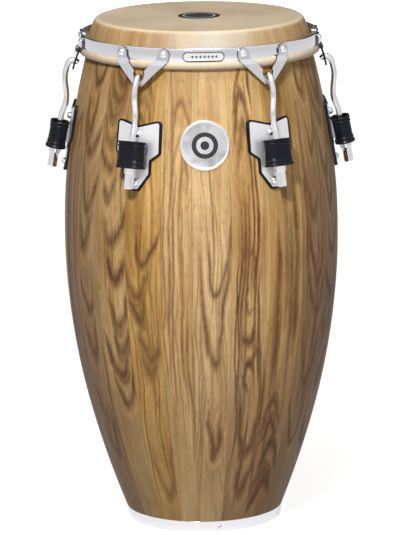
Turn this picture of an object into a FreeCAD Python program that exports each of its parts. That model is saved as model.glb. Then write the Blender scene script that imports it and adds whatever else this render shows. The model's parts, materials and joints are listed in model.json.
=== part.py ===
# Single wooden stave conga drum, one STEP file for each kind of piece.
# Units: millimetres.  Frame: origin at the centre of the foot, on the floor, +Z up,
# the front of the drum (badge and rim label) faces -Y.
#
# Azimuths are degrees about Z from the front (-Y), positive towards +X.
# Profiles are drawn as (r, z): r = distance from the drum's axis, z = height.
# A station is built at the front, with x across and +y towards the axis, then turned about Z.
import FreeCAD
import Part
import os
from math import sin, cos, tan, radians, degrees, atan2, asin, hypot
from FreeCAD import Vector

os.makedirs("parts", exist_ok=True)

# ------------------------------------------------------------------ driving sizes
HEAD_Z = 711.0                     # top of the playing skin
SKIN = 1.5                         # skin thickness
EDGE_Z = HEAD_Z - SKIN             # top of the wooden bearing edge
EDGE_R = 7.0                       # rounding of the bearing edge
SIDE_ANGLE = 21.0                  # where the side runs into the rounding, degrees
CREST_ANGLE = 90.0                 # top of the rounding
WALL = 12.0                        # stave thickness, square to the surface
GAP = 0.03                         # clearance between touching pieces

# outer profile of the shell, (height, radius)
SHELL = [
    (16.05, 110.0), (50.0, 122.8), (90.0, 136.7), (135.0, 150.6), (180.0, 162.7),
    (230.0, 173.6), (280.0, 181.8), (330.0, 187.4), (380.0, 190.3), (430.0, 190.5),
    (480.0, 188.3), (520.0, 184.1), (560.0, 178.0), (600.0, 170.55), (630.0, 164.2),
    (660.0, 157.2), (684.0, 151.4), (695.0, 148.3), (705.0, 144.5),
]

LUG_AZIMUTHS = [-30.0 + 60.0 * i for i in range(6)]

ORIGIN = Vector(0, 0, 0)
X_AXIS = Vector(1, 0, 0)
Y_AXIS = Vector(0, 1, 0)
Z_AXIS = Vector(0, 0, 1)


# ------------------------------------------------------------------ placing and writing
def place(shape, radius, height, tilt):
    """Put a local shape at the front; local z leans towards the axis by tilt degrees."""
    placed = shape.copy()
    placed.rotate(ORIGIN, X_AXIS, -tilt)
    placed.translate(Vector(0, -radius, height))
    return placed


def turn(shape, azimuth):
    turned = shape.copy()
    turned.rotate(ORIGIN, Z_AXIS, azimuth)
    return turned


def sole(shape):
    """The solid itself where the shape holds just one."""
    return shape.Solids[0] if len(shape.Solids) == 1 else shape


def clean(shape):
    """A boolean result with its split faces merged."""
    return sole(shape.removeSplitter())


def write(name, shape):
    shape.exportStep("parts/%s.step" % name)


def write_round(name, shapes, azimuths=LUG_AZIMUTHS):
    """One file with every shape repeated at every azimuth."""
    write(name, Part.makeCompound([turn(s, a) for s in shapes for a in azimuths]))


def write_numbered(name, shape):
    """One file for each lug station."""
    for i, azimuth in enumerate(LUG_AZIMUTHS):
        write("%s_%d" % (name, i + 1), turn(shape, azimuth))


# ------------------------------------------------------------------ outlines and solids
def mirrored(corners):
    """Corners (x, z, fillet) mirrored across x = 0, in reverse order."""
    return [(-x, z, fillet) for x, z, fillet in reversed(corners)]


def wire_face(edges):
    return Part.Face(Part.Wire(edges))


def polygon_face(points):
    return Part.Face(Part.makePolygon(points + [points[0]]))


def profile_face(points):
    """Closed polygon of (r, z) points."""
    return polygon_face([Vector(r, 0, z) for r, z in points])


def lines(*points):
    return [Part.makeLine(p, q) for p, q in zip(points, points[1:])]


def curve_edge(points):
    curve = Part.BSplineCurve()
    curve.interpolate(points)
    return curve.toShape()


def spin(face, azimuth0=0.0, azimuth1=360.0):
    """Revolve an (r, z) face about Z between two azimuths."""
    return turn(face, -90.0 + azimuth0).revolve(ORIGIN, Z_AXIS, azimuth1 - azimuth0)


def cylinder_y(radius, y0, y1, z=0.0):
    return Part.makeCylinder(radius, y1 - y0, Vector(0, y0, z), Y_AXIS)


def cylinder_z(radius, z0, z1):
    return Part.makeCylinder(radius, z1 - z0, Vector(0, 0, z0))


def hexagon(radius):
    """Corners of a hexagon as (a, b) pairs."""
    angles = [radians(60 * i) for i in range(6)]
    return [(radius * cos(angle), radius * sin(angle)) for angle in angles]


def rounded_wire(corners, to_vector):
    """Closed wire through corners (a, b, fillet); to_vector(a, b) gives the 3D point."""
    points = [Vector(a, b, 0) for a, b, _ in corners]
    count = len(points)
    starts, middles, ends = [], [], []
    for i, point in enumerate(points):
        fillet = corners[i][2]
        to_last = (points[i - 1] - point).normalize()
        to_next = (points[(i + 1) % count] - point).normalize()
        half_angle = to_last.getAngle(to_next) / 2
        bisector = (to_last + to_next).normalize()
        setback = fillet / tan(half_angle)
        starts.append(point + to_last * setback)
        middles.append(point + bisector * (fillet / sin(half_angle) - fillet))
        ends.append(point + to_next * setback)
    edges = []
    for i in range(count):
        start, middle, end, following = [
            to_vector(p.x, p.y)
            for p in (starts[i], middles[i], ends[i], starts[(i + 1) % count])]
        if corners[i][2] > 0:
            edges.append(Part.Arc(start, middle, end).toShape())
        if end.distanceToPoint(following) > 1e-6:
            edges.append(Part.makeLine(end, following))
    return Part.Wire(edges)


def prism_y(corners, y0, y1):
    """Prism along y from a rounded outline of (x, z, fillet) corners."""
    wire = rounded_wire(corners, lambda x, z: Vector(x, y0, z))
    return Part.Face(wire).extrude(Vector(0, y1 - y0, 0))


def front_prism(corners):
    """Rounded outline extruded through the front of the crown."""
    return prism_y(corners, -200, -140)


def offset_line(p, q, distance):
    """Line p-q moved to its left by distance."""
    dx, dy = q[0] - p[0], q[1] - p[1]
    length = hypot(dx, dy)
    shift_x, shift_y = -dy / length * distance, dx / length * distance
    return (p[0] + shift_x, p[1] + shift_y), (q[0] + shift_x, q[1] + shift_y)


def crossing(line_a, line_b):
    """Point where two infinite lines meet."""
    (x1, y1), (x2, y2) = line_a
    (x3, y3), (x4, y4) = line_b
    denominator = (x1 - x2) * (y3 - y4) - (y1 - y2) * (x3 - x4)
    t = ((x1 - x3) * (y3 - y4) - (y1 - y3) * (x3 - x4)) / denominator
    return (x1 + t * (x2 - x1), y1 + t * (y2 - y1))


def offset_chain(chain, distance):
    """Open chain of points moved to its left by distance, with sharp corners."""
    moved = [offset_line(p, q, distance) for p, q in zip(chain, chain[1:])]
    corners = [crossing(a, b) for a, b in zip(moved, moved[1:])]
    return [moved[0][0]] + corners + [moved[-1][1]]


# ------------------------------------------------------------------ shell surface
outer_curve = Part.BSplineCurve()
outer_curve.interpolate([Vector(r, 0, z) for z, r in SHELL])


def outer_radius(z):
    """Radius of the shell's outer surface at height z, by bisection."""
    low, high = outer_curve.FirstParameter, outer_curve.LastParameter
    for _ in range(60):
        middle = 0.5 * (low + high)
        if outer_curve.value(middle).z < z:
            low = middle
        else:
            high = middle
    return outer_curve.value(0.5 * (low + high)).x


def offset_points(distance, z0, z1, steps):
    """Outer profile moved outward, square to the surface.

    The whole profile is divided into steps; points with base heights z0..z1 are kept.
    """
    first, last = outer_curve.FirstParameter, outer_curve.LastParameter
    points = []
    for i in range(steps + 1):
        t = first + (last - first) * i / steps
        base = outer_curve.value(t)
        along = outer_curve.tangent(t)[0]
        if z0 - 1e-6 <= base.z <= z1 + 1e-6:
            points.append(base + Vector(along.z, 0, -along.x) * distance)
    return points


def layer(distance0, distance1, z0, z1, azimuth0=0.0, azimuth1=360.0, steps=90):
    """Thin layer of revolution lying distance0..distance1 outside the shell."""
    near = offset_points(distance0, z0, z1, steps)
    far = offset_points(distance1, z0, z1, steps)
    face = wire_face([curve_edge(near)] + lines(near[-1], far[-1])
                     + [curve_edge(far).reversed()] + lines(far[0], near[0]))
    return spin(face, azimuth0, azimuth1)


# centre of the bearing edge's rounding
EDGE_CENTRE_R = SHELL[-1][1] - EDGE_R * cos(radians(SIDE_ANGLE))
EDGE_CENTRE_Z = EDGE_Z - EDGE_R


def edge_point(radius, angle):
    return Vector(EDGE_CENTRE_R + radius * cos(radians(angle)), 0,
                  EDGE_CENTRE_Z + radius * sin(radians(angle)))


def edge_arc(radius, angle0, angle1):
    """Arc about the centre of the bearing edge's rounding."""
    angles = (angle0, (angle0 + angle1) / 2, angle1)
    return Part.Arc(*[edge_point(radius, angle) for angle in angles]).toShape()


# ------------------------------------------------------------------ bottom ring and screws
RING_H = 16.0
RING_T = 2.2
RING_R_TOP = 109.9
RING_R_BOTTOM = 107.6
RING_GAP = 0.05                    # clearance between ring and staves

SCREW_AZIMUTHS = [9.0 + 120.0 * i for i in range(3)]
SCREW_Z = RING_H / 2
SCREW_R = RING_R_BOTTOM + (RING_R_TOP - RING_R_BOTTOM) * SCREW_Z / RING_H
RING_SLOPE = degrees(atan2(RING_R_TOP - RING_R_BOTTOM, RING_H))


def screw_place(shape):
    # the ring widens upwards, so its outward normal points slightly down
    return place(shape, SCREW_R, SCREW_Z, -RING_SLOPE)


screw_hole = screw_place(cylinder_y(1.6, -2.0, 10.0))


def bottom_ring():
    ring = spin(profile_face([
        (RING_R_BOTTOM - RING_T, 0.0), (RING_R_BOTTOM, 0.0),
        (RING_R_TOP, RING_H), (RING_R_TOP - RING_T, RING_H)]))
    for azimuth in SCREW_AZIMUTHS:
        ring = ring.cut(turn(screw_hole, azimuth))
    return clean(ring)


def ring_screw():
    """Domed, slotted screw with its head on the outside."""
    shank = cylinder_y(1.5, -0.5, 9.9)
    dome = Part.makeSphere(4.0, Vector(0, 2.6, 0)).common(cylinder_y(3.2, -3.05, -0.05))
    slot = Part.makeBox(7, 0.7, 0.8, Vector(-3.5, -1.5, -0.4))
    return screw_place(clean(shank.fuse(dome).cut(slot)))


# ------------------------------------------------------------------ side plate frame
# The plate is folded about its vertical centre line.  Its local frame has y = 0 on the
# back of the fold and z running up the fold from the tip.
PLATE_R0, PLATE_Z0 = 189.2, 500.0  # tip
PLATE_R1, PLATE_Z1 = 175.1, 592.0  # top
PLATE_T = 2.0
PLATE_FOLD = 6.0                   # each wing bends back by this angle
PLATE_TILT = degrees(atan2(PLATE_R0 - PLATE_R1, PLATE_Z1 - PLATE_Z0))
UPPER_BOLT_Z, LOWER_BOLT_Z = 574.0, 509.6
BOLT_HEIGHTS = (UPPER_BOLT_Z, LOWER_BOLT_Z)

# right half of the plate from the tip up, (across, height, fillet)
PLATE_HALF = [
    (4.0, 500.6, 1.5), (18.4, 521.4, 3.0), (18.6, 540.2, 3.0),
    (31.6, 550.0, 3.0), (30.4, 591.2, 3.0),
]
PLATE_NOTCH = (0.0, 582.8, 0.0)    # notch in the middle of the top edge


def plate_place(shape):
    return place(shape, PLATE_R0, PLATE_Z0, PLATE_TILT)


def up_plate(z):
    """Distance up the plate's fold for a height z."""
    return (z - PLATE_Z0) / cos(radians(PLATE_TILT))


def plate_prism(grow):
    """Plate outline grown outward by grow, extruded through the plate."""
    corners = mirrored(PLATE_HALF) + PLATE_HALF + [PLATE_NOTCH]
    points = [(x, up_plate(z)) for x, z, _ in corners]
    # the end points are repeated so that the offset closes round the loop
    grown = offset_chain([points[-1]] + points + [points[0]], -grow)[1:-1]
    return prism_y([(x, up, fillet + grow if fillet else 0)
                    for (x, up), (_, _, fillet) in zip(grown, corners)], -30, 30)


def chevron(ridge_y, depth):
    """Tall prism with the folded section, its outer ridge at local y = ridge_y."""
    width = 50.0
    wing_y = ridge_y + width * tan(radians(PLATE_FOLD))
    section = [(-width, wing_y), (0, ridge_y), (width, wing_y),
               (width, wing_y + depth), (0, ridge_y + depth), (-width, wing_y + depth)]
    face = polygon_face([Vector(x, y, -20) for x, y in section])
    return face.extrude(Vector(0, 0, up_plate(PLATE_Z1) + 40))


def bolt_hole(z, radius):
    return plate_place(cylinder_y(radius, -30.0, 60.0, up_plate(z)))


# ------------------------------------------------------------------ staves
# stave joints across the front, azimuths; the other joints are evenly spaced
FRONT_JOINTS = [-35.0, -19.0, -5.8, 10.4, 27.7, 44.6, 61.6]
STAVE_COUNT = 23
GLUE_GAP = 0.02                    # degrees between neighbouring staves
FOOT_TAPER = 4.2                   # the inside narrows by this much to the floor
STAVE_HOLE_R = 3.3


def wall_face():
    """Section of the wall: outer belly, rounded bearing edge, inner belly, turned foot."""
    outer_bottom = outer_curve.value(outer_curve.FirstParameter)
    outer_top = outer_curve.value(outer_curve.LastParameter)
    inner = offset_points(-WALL, SHELL[0][0], 700.0, 60)
    ring_inside = -RING_T - RING_GAP
    edges = [outer_curve.toShape()]
    edges += lines(outer_top, edge_point(EDGE_R, SIDE_ANGLE))
    edges.append(edge_arc(EDGE_R, SIDE_ANGLE, CREST_ANGLE))
    edges += lines(edge_point(EDGE_R, CREST_ANGLE), inner[-1])
    edges.append(curve_edge(inner).reversed())
    edges += lines(inner[0],
                   Vector(inner[0].x - FOOT_TAPER, 0, 0),
                   Vector(RING_R_BOTTOM + ring_inside, 0, 0),
                   Vector(RING_R_TOP + ring_inside, 0, RING_H + RING_GAP),
                   outer_bottom)
    return wire_face(edges)


wall = wall_face()


def joint_azimuths():
    even_count = STAVE_COUNT - (len(FRONT_JOINTS) - 1)
    first, last = FRONT_JOINTS[0], FRONT_JOINTS[-1]
    span = 360.0 - (last - first)
    even = [last + span * i / even_count for i in range(1, even_count)]
    return FRONT_JOINTS + even + [first + 360.0]


def shell_staves():
    holes = [(azimuth, turn(bolt_hole(z, STAVE_HOLE_R), azimuth))
             for azimuth in LUG_AZIMUTHS for z in BOLT_HEIGHTS]
    holes += [(azimuth, turn(screw_hole, azimuth)) for azimuth in SCREW_AZIMUTHS]
    joints = joint_azimuths()
    staves = []
    for start, end in zip(joints, joints[1:]):
        stave = spin(wall, start + GLUE_GAP / 2, end - GLUE_GAP / 2)
        centre = 0.5 * (start + end)
        # a hole is cut only where it can reach the stave
        reach = 0.5 * (end - start) + 4.0
        for azimuth, hole in holes:
            if abs((azimuth - centre + 180.0) % 360.0 - 180.0) < reach:
                stave = stave.cut(hole)
        staves.append(sole(stave))
    return Part.makeCompound(staves)


# ------------------------------------------------------------------ side plates and gaskets
PLATE_HOLE_R = 3.2
GASKET_MARGIN = 2.8                # width of the gasket's lip round the plate
GASKET_LIP = 2.4                   # the lip stands this far in front of the plate's back
GASKET_DEPTH = 18.4                # before the shell is cut away
GASKET_FIT = 0.04                  # clearance to the plate's rim and to the shell


def cut_plate_holes(shape):
    for z in BOLT_HEIGHTS:
        shape = shape.cut(bolt_hole(z, PLATE_HOLE_R))
    return clean(shape)


def side_plate():
    return cut_plate_holes(plate_place(chevron(-PLATE_T, PLATE_T).common(plate_prism(0.0))))


def shell_plug():
    """Solid sector of the shell, a little oversize."""
    points = offset_points(GASKET_FIT, 430.0, 640.0, 120)
    plug_inside = 100
    face = wire_face([curve_edge(points)] + lines(
        points[-1], Vector(plug_inside, 0, points[-1].z),
        Vector(plug_inside, 0, points[0].z), points[0]))
    return spin(face, -40, 40)


def plate_gasket():
    """Pad behind the plate with a lip round its edge, hollowed to fit the shell."""
    gasket = chevron(-GASKET_LIP, GASKET_DEPTH).common(plate_prism(GASKET_MARGIN))
    gasket = gasket.cut(chevron(-10.0, 10.02).common(plate_prism(GASKET_FIT)))
    return cut_plate_holes(plate_place(gasket).cut(shell_plug()))


# ------------------------------------------------------------------ plate bolts
BOLT_R = 3.0
BOLT_END = 8.6                     # the shank ends this far inside the shell's inner surface
WASHER_R, WASHER_T, WASHER_GAP = 7.0, 1.2, 0.5
NUT_R, NUT_T, NUT_GAP = 5.77, 5.0, 0.05

front_wall = spin(wall, -12, 12)


def inner_depth(z):
    """Distance along the bolt from the plate's back to the shell's inner surface."""
    lead = 20
    line = plate_place(Part.makeLine(Vector(0, -lead, up_plate(z)),
                                     Vector(0, 60, up_plate(z))))
    start = line.Vertexes[0].Point
    hit = line.common(front_wall)
    return max(v.Point.distanceToPoint(start) for v in hit.Vertexes) - lead


def plate_bolt(z, head_r, head_h, rim):
    """Bolt whose head is a short rim under a spherical cap."""
    up = up_plate(z)
    seat = -PLATE_T - GAP
    rim_y = seat - rim
    cap_h = head_h - rim
    cap_y = rim_y - cap_h
    sphere_r = (head_r ** 2 + cap_h ** 2) / (2 * cap_h)
    shank = cylinder_y(BOLT_R, seat, inner_depth(z) + BOLT_END, up)
    cap = Part.makeSphere(sphere_r, Vector(0, cap_y + sphere_r, up)).common(
        cylinder_y(head_r, cap_y, rim_y, up))
    return plate_place(clean(shank.fuse(cylinder_y(head_r, rim_y, seat, up)).fuse(cap)))


def backing_washer(z):
    depth, up = inner_depth(z), up_plate(z)
    face_y = depth + WASHER_GAP
    washer = cylinder_y(WASHER_R, face_y, face_y + WASHER_T, up)
    return plate_place(washer.cut(cylinder_y(3.2, depth - 1, depth + 3, up)))


def backing_nut(z):
    depth, up = inner_depth(z), up_plate(z)
    face_y = depth + WASHER_GAP + WASHER_T + NUT_GAP
    nut = polygon_face([Vector(a, face_y, up + b) for a, b in hexagon(NUT_R)])
    nut = nut.extrude(Vector(0, NUT_T, 0))
    return plate_place(nut.cut(cylinder_y(BOLT_R + 0.05, depth, depth + 9.0, up)))


# ------------------------------------------------------------------ lugs
# Lug frame: z runs up the straight part of the tuning rod.
ROD_R = 4.0
ROD_TILT = 11.5                    # the rod leans out towards the foot
ROD_ORIGIN_R, ROD_ORIGIN_Z = 198.3, 548.0
BORE_R = 4.08

CORE_W, CORE_D, CORE_CORNER = 16.3, 9.5, 9.0    # half width, half depth, corner radius
CORE_Z0, CORE_Z1 = -16.0, 18.1
FOOT_W, FOOT_Y, FOOT_Z = 14.0, 6.0, -8.5        # width, front face and underside
CORE_FIT = 0.05                    # sleeve to core
FOOT_FIT = 0.1                     # sleeve to foot

SLEEVE_Z0, SLEEVE_Z1 = -17.5, 19.1
# sleeve body, then its three ribs: (half width, half depth, z0, z1)
SLEEVE_BLOCKS = [
    (19.2, 12.4, SLEEVE_Z0, SLEEVE_Z1),
    (20.1, 13.3, 16.4, SLEEVE_Z1),
    (20.0, 13.2, 11.8, 14.2),
    (19.9, 13.1, -11.4, -9.8),
]
# sections of the flared bottom flange: (half width, half depth, z)
FLANGE_SECTIONS = [(19.6, 12.8, -12.4), (20.9, 14.2, -15.8), (20.7, 14.0, SLEEVE_Z0)]
SLEEVE_FLAT = 0.1                  # the corner radius is this much under the half depth


def lug_place(shape):
    return place(shape, ROD_ORIGIN_R, ROD_ORIGIN_Z, ROD_TILT)


def block_wire(width, depth, corner, z):
    """Rounded rectangle from half width, half depth and corner radius."""
    corners = [(-width, -depth, corner), (width, -depth, corner),
               (width, depth, corner), (-width, depth, corner)]
    return rounded_wire(corners, lambda x, y: Vector(x, y, z))


def block(width, depth, corner, z0, z1):
    return Part.Face(block_wire(width, depth, corner, z0)).extrude(Vector(0, 0, z1 - z0))


def lug_bracket():
    """Lug block with its foot running back to the side plate."""
    core = block(CORE_W, CORE_D, CORE_CORNER, CORE_Z0, CORE_Z1)
    foot = Part.makeBox(FOOT_W, 19.0, 26.5, Vector(-FOOT_W / 2, FOOT_Y, FOOT_Z))
    bracket = lug_place(core.fuse(foot))
    bracket = bracket.cut(plate_place(chevron(-PLATE_T - GAP, 60.0)))
    return clean(bracket.cut(lug_place(cylinder_z(BORE_R, -30, 30))))


def lug_sleeve():
    """Ribbed sleeve, open top and bottom, slit at the back for the foot."""
    blocks = [block(width, depth, depth - SLEEVE_FLAT, z0, z1)
              for width, depth, z0, z1 in SLEEVE_BLOCKS]
    flange = Part.makeLoft([block_wire(width, depth, depth - SLEEVE_FLAT, z)
                            for width, depth, z in FLANGE_SECTIONS], True, True)
    sleeve = blocks[0]
    for addition in blocks[1:] + [flange]:
        sleeve = sleeve.fuse(addition)
    sleeve = sleeve.cut(block(CORE_W + CORE_FIT, CORE_D + CORE_FIT,
                              CORE_CORNER + CORE_FIT, -30, 30))
    slit = Part.makeBox(FOOT_W + 2 * FOOT_FIT, 16.0, 40.0,
                        Vector(-FOOT_W / 2 - FOOT_FIT, FOOT_Y, FOOT_Z - FOOT_FIT))
    return lug_place(clean(sleeve.cut(slit)))


def thrust_washer():
    return lug_place(cylinder_z(8.2, -17.55, -16.05).cut(cylinder_z(4.2, -20, -14)))


# ------------------------------------------------------------------ badge
BADGE_Z = 561.0
BADGE_R, BADGE_RIM_R = 34.0, 30.6  # outside, and inside of the raised rim


def badge():
    """Round badge with a raised rim, following the shell."""
    slope = degrees(atan2(outer_radius(BADGE_Z - 5) - outer_radius(BADGE_Z + 5), 10.0))
    outside, inside = [place(cylinder_y(radius, -12, 18), outer_radius(BADGE_Z), BADGE_Z, slope)
                       for radius in (BADGE_R, BADGE_RIM_R)]
    disc = layer(GAP, 1.6, 470.0, 650.0, -20, 20).common(outside)
    rim = layer(1.2, 2.7, 470.0, 650.0, -20, 20).common(outside).cut(inside)
    return clean(disc.fuse(rim))


# ------------------------------------------------------------------ head
HOOP_R, HOOP_Z = 161.3, 667.7      # flesh hoop centre line
HOOP_ROD = 3.2
BEAD = 4.8                         # hoop with the skin wrapped round it
COLLAR_GAP = 0.2                   # between the shell and the side of the skin


def head_skin():
    """Flat playing skin, carried over the bearing edge."""
    inner_r, outer_r = EDGE_R + GAP, EDGE_R + SKIN
    under, top = Vector(0, 0, EDGE_Z + GAP), Vector(0, 0, HEAD_Z)
    return spin(wire_face(
        lines(under, edge_point(inner_r, CREST_ANGLE))
        + [edge_arc(inner_r, CREST_ANGLE, SIDE_ANGLE)]
        + lines(edge_point(inner_r, SIDE_ANGLE), edge_point(outer_r, SIDE_ANGLE))
        + [edge_arc(outer_r, SIDE_ANGLE, CREST_ANGLE)]
        + lines(edge_point(outer_r, CREST_ANGLE), top, under)))


def head_skin_collar():
    """Side of the skin, running down and round the flesh hoop."""
    side = layer(COLLAR_GAP, COLLAR_GAP + SKIN, 666.0, 704.9, steps=160)
    bead = Part.makeTorus(HOOP_R, BEAD, Vector(0, 0, HOOP_Z))
    hollow = Part.makeTorus(HOOP_R, HOOP_ROD + 0.05, Vector(0, 0, HOOP_Z))
    return clean(side.fuse(bead).cut(hollow))


def flesh_hoop():
    return Part.makeTorus(HOOP_R, HOOP_ROD, Vector(0, 0, HOOP_Z))


def head_patch():
    return Part.makeCylinder(29.4, 0.6, Vector(0, 0, HEAD_Z + 0.02))


# ------------------------------------------------------------------ crown
BAND_R = 165.0
BAND_T = 3.4
BAND_Z0, BAND_Z1 = 672.55, 691.0
STRAP_T = 2.6                      # V bracket strap
RIVET_X, RIVET_Z = 31.8, 682.0     # across from the lug station's centre, and height
RIVET_ANGLE = degrees(asin(RIVET_X / (BAND_R + STRAP_T / 2)))
RIVET_AZIMUTHS = [a + side * RIVET_ANGLE for a in LUG_AZIMUTHS for side in (-1, 1)]

# inner face of the bracket strap from the top down, (r, z)
STRAP_CHAIN = [(BAND_R + GAP, 692.5), (BAND_R + GAP, 673.6), (169.9, 666.8), (175.4, 633.0)]
# right half of the V, (x, z, fillet): outer side going down, inner side going up
VEE_OUTER = [(40.3, 690.6, 8.2), (40.3, 679.0, 10.0), (37.6, 671.0, 0.0), (5.2, 638.9, 5.0)]
VEE_INNER = [(6.2, 645.6, 6.0), (8.7, 656.0, 1.0), (7.7, 660.3, 1.5),
             (17.6, 670.5, 4.0), (23.3, 678.0, 5.0), (23.3, 690.6, 8.2)]

LABEL_X, LABEL_T, LABEL_CORNER = 28.3, 1.2, 6.69    # half width, reach off the band, corners
LABEL_Z0, LABEL_Z1 = 673.2, 686.6

rivet_hole = cylinder_y(2.6, -180, -150, RIVET_Z)


def crown_band():
    band = spin(profile_face([(BAND_R - BAND_T, BAND_Z0), (BAND_R, BAND_Z0),
                              (BAND_R, BAND_Z1), (BAND_R - BAND_T, BAND_Z1)]))
    for azimuth in RIVET_AZIMUTHS:
        band = band.cut(turn(rivet_hole, azimuth))
    return clean(band)


def v_bracket():
    """Bent strap section swept round the drum, cut to the V outline."""
    strap_outside = offset_chain(STRAP_CHAIN, STRAP_T)
    strap = spin(profile_face(STRAP_CHAIN + strap_outside[::-1]), -18, 18)
    vee = strap.common(front_prism(
        VEE_OUTER + mirrored(VEE_OUTER) + mirrored(VEE_INNER) + VEE_INNER))
    for side in (-1, 1):
        vee = vee.cut(turn(rivet_hole, side * RIVET_ANGLE))
    return clean(vee)


def bracket_rivet():
    """Rivet with a domed head outside and a flat tail inside the band."""
    seat = -(BAND_R + GAP + STRAP_T + 0.02)
    tail_y = -(BAND_R - BAND_T - 0.12)
    head = Part.makeSphere(6.3, Vector(0, seat + 3.1, RIVET_Z)).common(
        cylinder_y(5.2, seat - 4.0, seat, RIVET_Z))
    shank = cylinder_y(2.5, seat - 0.5, seat + 7.5, RIVET_Z)
    tail = cylinder_y(4.0, tail_y, tail_y + 1.2, RIVET_Z)
    return clean(shank.fuse(head).fuse(tail))


def rim_label():
    """Small plain plate on the front of the band."""
    label = spin(profile_face([
        (BAND_R + GAP, LABEL_Z0), (BAND_R + LABEL_T, LABEL_Z0),
        (BAND_R + LABEL_T, LABEL_Z1), (BAND_R + GAP, LABEL_Z1)]), -11, 11)
    outline = [(x, z, LABEL_CORNER) for x, z in (
        (-LABEL_X, LABEL_Z0), (LABEL_X, LABEL_Z0), (LABEL_X, LABEL_Z1), (-LABEL_X, LABEL_Z1))]
    return clean(label.common(front_prism(outline)))


# ------------------------------------------------------------------ tuning rods and nuts
ROD_BOTTOM, ROD_BEND = -39.5, 26.5    # ends of the straight part, in the lug frame
# centre line of the bent part going up into the hook, (r, z)
HOOK_POINTS = [
    (189.3, 584.0), (186.5, 592.0), (185.3, 600.0), (185.4, 608.0), (186.2, 616.0),
    (186.9, 624.0), (186.4, 632.0), (184.6, 640.0), (181.9, 647.0), (177.9, 651.4),
    (173.2, 651.5), (167.8, 648.2),
]
HOOK_END_DIRECTION = Vector(0, 0.86, -0.51)

NUT_TOP, NUT_COLLAR, NUT_END = -17.62, -25.2, -45.5    # heights in the lug frame
NUT_HEX_R, NUT_COLLAR_R = 7.505, 8.2
BEVEL_R0, BEVEL_R1, BEVEL_H = 6.4, 8.4, 2.0


def tuning_rod():
    """Straight rod swept on into a hook at the top."""
    direction = Vector(0, sin(radians(ROD_TILT)), cos(radians(ROD_TILT)))
    origin = Vector(0, -ROD_ORIGIN_R, ROD_ORIGIN_Z)
    bend_start = origin + direction * ROD_BEND
    straight = Part.makeCylinder(ROD_R, ROD_BEND - ROD_BOTTOM,
                                 origin + direction * ROD_BOTTOM, direction)
    spine = Part.BSplineCurve()
    spine.interpolate(Points=[bend_start] + [Vector(0, -r, z) for r, z in HOOK_POINTS],
                      InitialTangent=direction, FinalTangent=HOOK_END_DIRECTION)
    section = Part.Wire(Part.makeCircle(ROD_R, bend_start, direction))
    hook = Part.Wire(spine.toShape()).makePipeShell([section], True, False)
    return clean(straight.fuse(hook))


def tuning_nut():
    """Round collar over a hexagon, bevelled at the lower end."""
    hexagon_face = polygon_face([Vector(a, b, NUT_END) for a, b in hexagon(NUT_HEX_R)])
    body = hexagon_face.extrude(Vector(0, 0, NUT_TOP - NUT_END - 1.0))
    bevel_top = NUT_END + BEVEL_H
    bevel = Part.makeCone(BEVEL_R0, BEVEL_R1, BEVEL_H, Vector(0, 0, NUT_END)).fuse(
        cylinder_z(BEVEL_R1, bevel_top, bevel_top + 30))
    nut = body.common(bevel).fuse(cylinder_z(NUT_COLLAR_R, NUT_COLLAR, NUT_TOP))
    nut = nut.cut(cylinder_z(ROD_R + 0.05, NUT_END - 5, NUT_END + 55))
    return clean(lug_place(nut))


# ------------------------------------------------------------------ build
write("shell_staves", shell_staves())
write("bottom_ring", bottom_ring())
write_round("bottom_ring_screws", [ring_screw()], SCREW_AZIMUTHS)

write_round("side_plates", [side_plate()])
write_round("plate_gaskets", [plate_gasket()])
write_round("plate_bolts_upper", [plate_bolt(UPPER_BOLT_Z, head_r=4.7, head_h=5.2, rim=1.6)])
write_round("plate_bolts_lower", [plate_bolt(LOWER_BOLT_Z, head_r=5.0, head_h=3.4, rim=0.7)])
write_round("backing_washers", [backing_washer(z) for z in BOLT_HEIGHTS])
write_round("backing_nuts", [backing_nut(z) for z in BOLT_HEIGHTS])

write_round("lug_brackets", [lug_bracket()])
write_round("lug_sleeves", [lug_sleeve()])
write_round("thrust_washers", [thrust_washer()])
write("badge", badge())

write("head_skin", head_skin())
write("head_skin_collar", head_skin_collar())
write("flesh_hoop", flesh_hoop())
write("head_patch", head_patch())

write("crown_band", crown_band())
write_round("v_brackets", [v_bracket()])
write_round("bracket_rivets", [bracket_rivet()], RIVET_AZIMUTHS)
write("rim_label", rim_label())

write_numbered("tuning_rod", tuning_rod())
write_numbered("tuning_nut", tuning_nut())
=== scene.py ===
"""A tall barrel drum of wooden staves, with a hide head, a crown band and six tuning lugs.

It stands upright on the floor z = 0 with its axis on Z and its front towards -Y.  Azimuths are in
degrees, 0 at the front and growing towards +X.  Shape tables are in millimetres (MM makes metres);
materials, lights and the camera are in metres.
"""
import json
from math import atan2, cos, degrees, hypot, pi, radians, sin, sqrt, tan

import bmesh
import bpy
import numpy as np
from mathutils import Matrix, Vector


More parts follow.
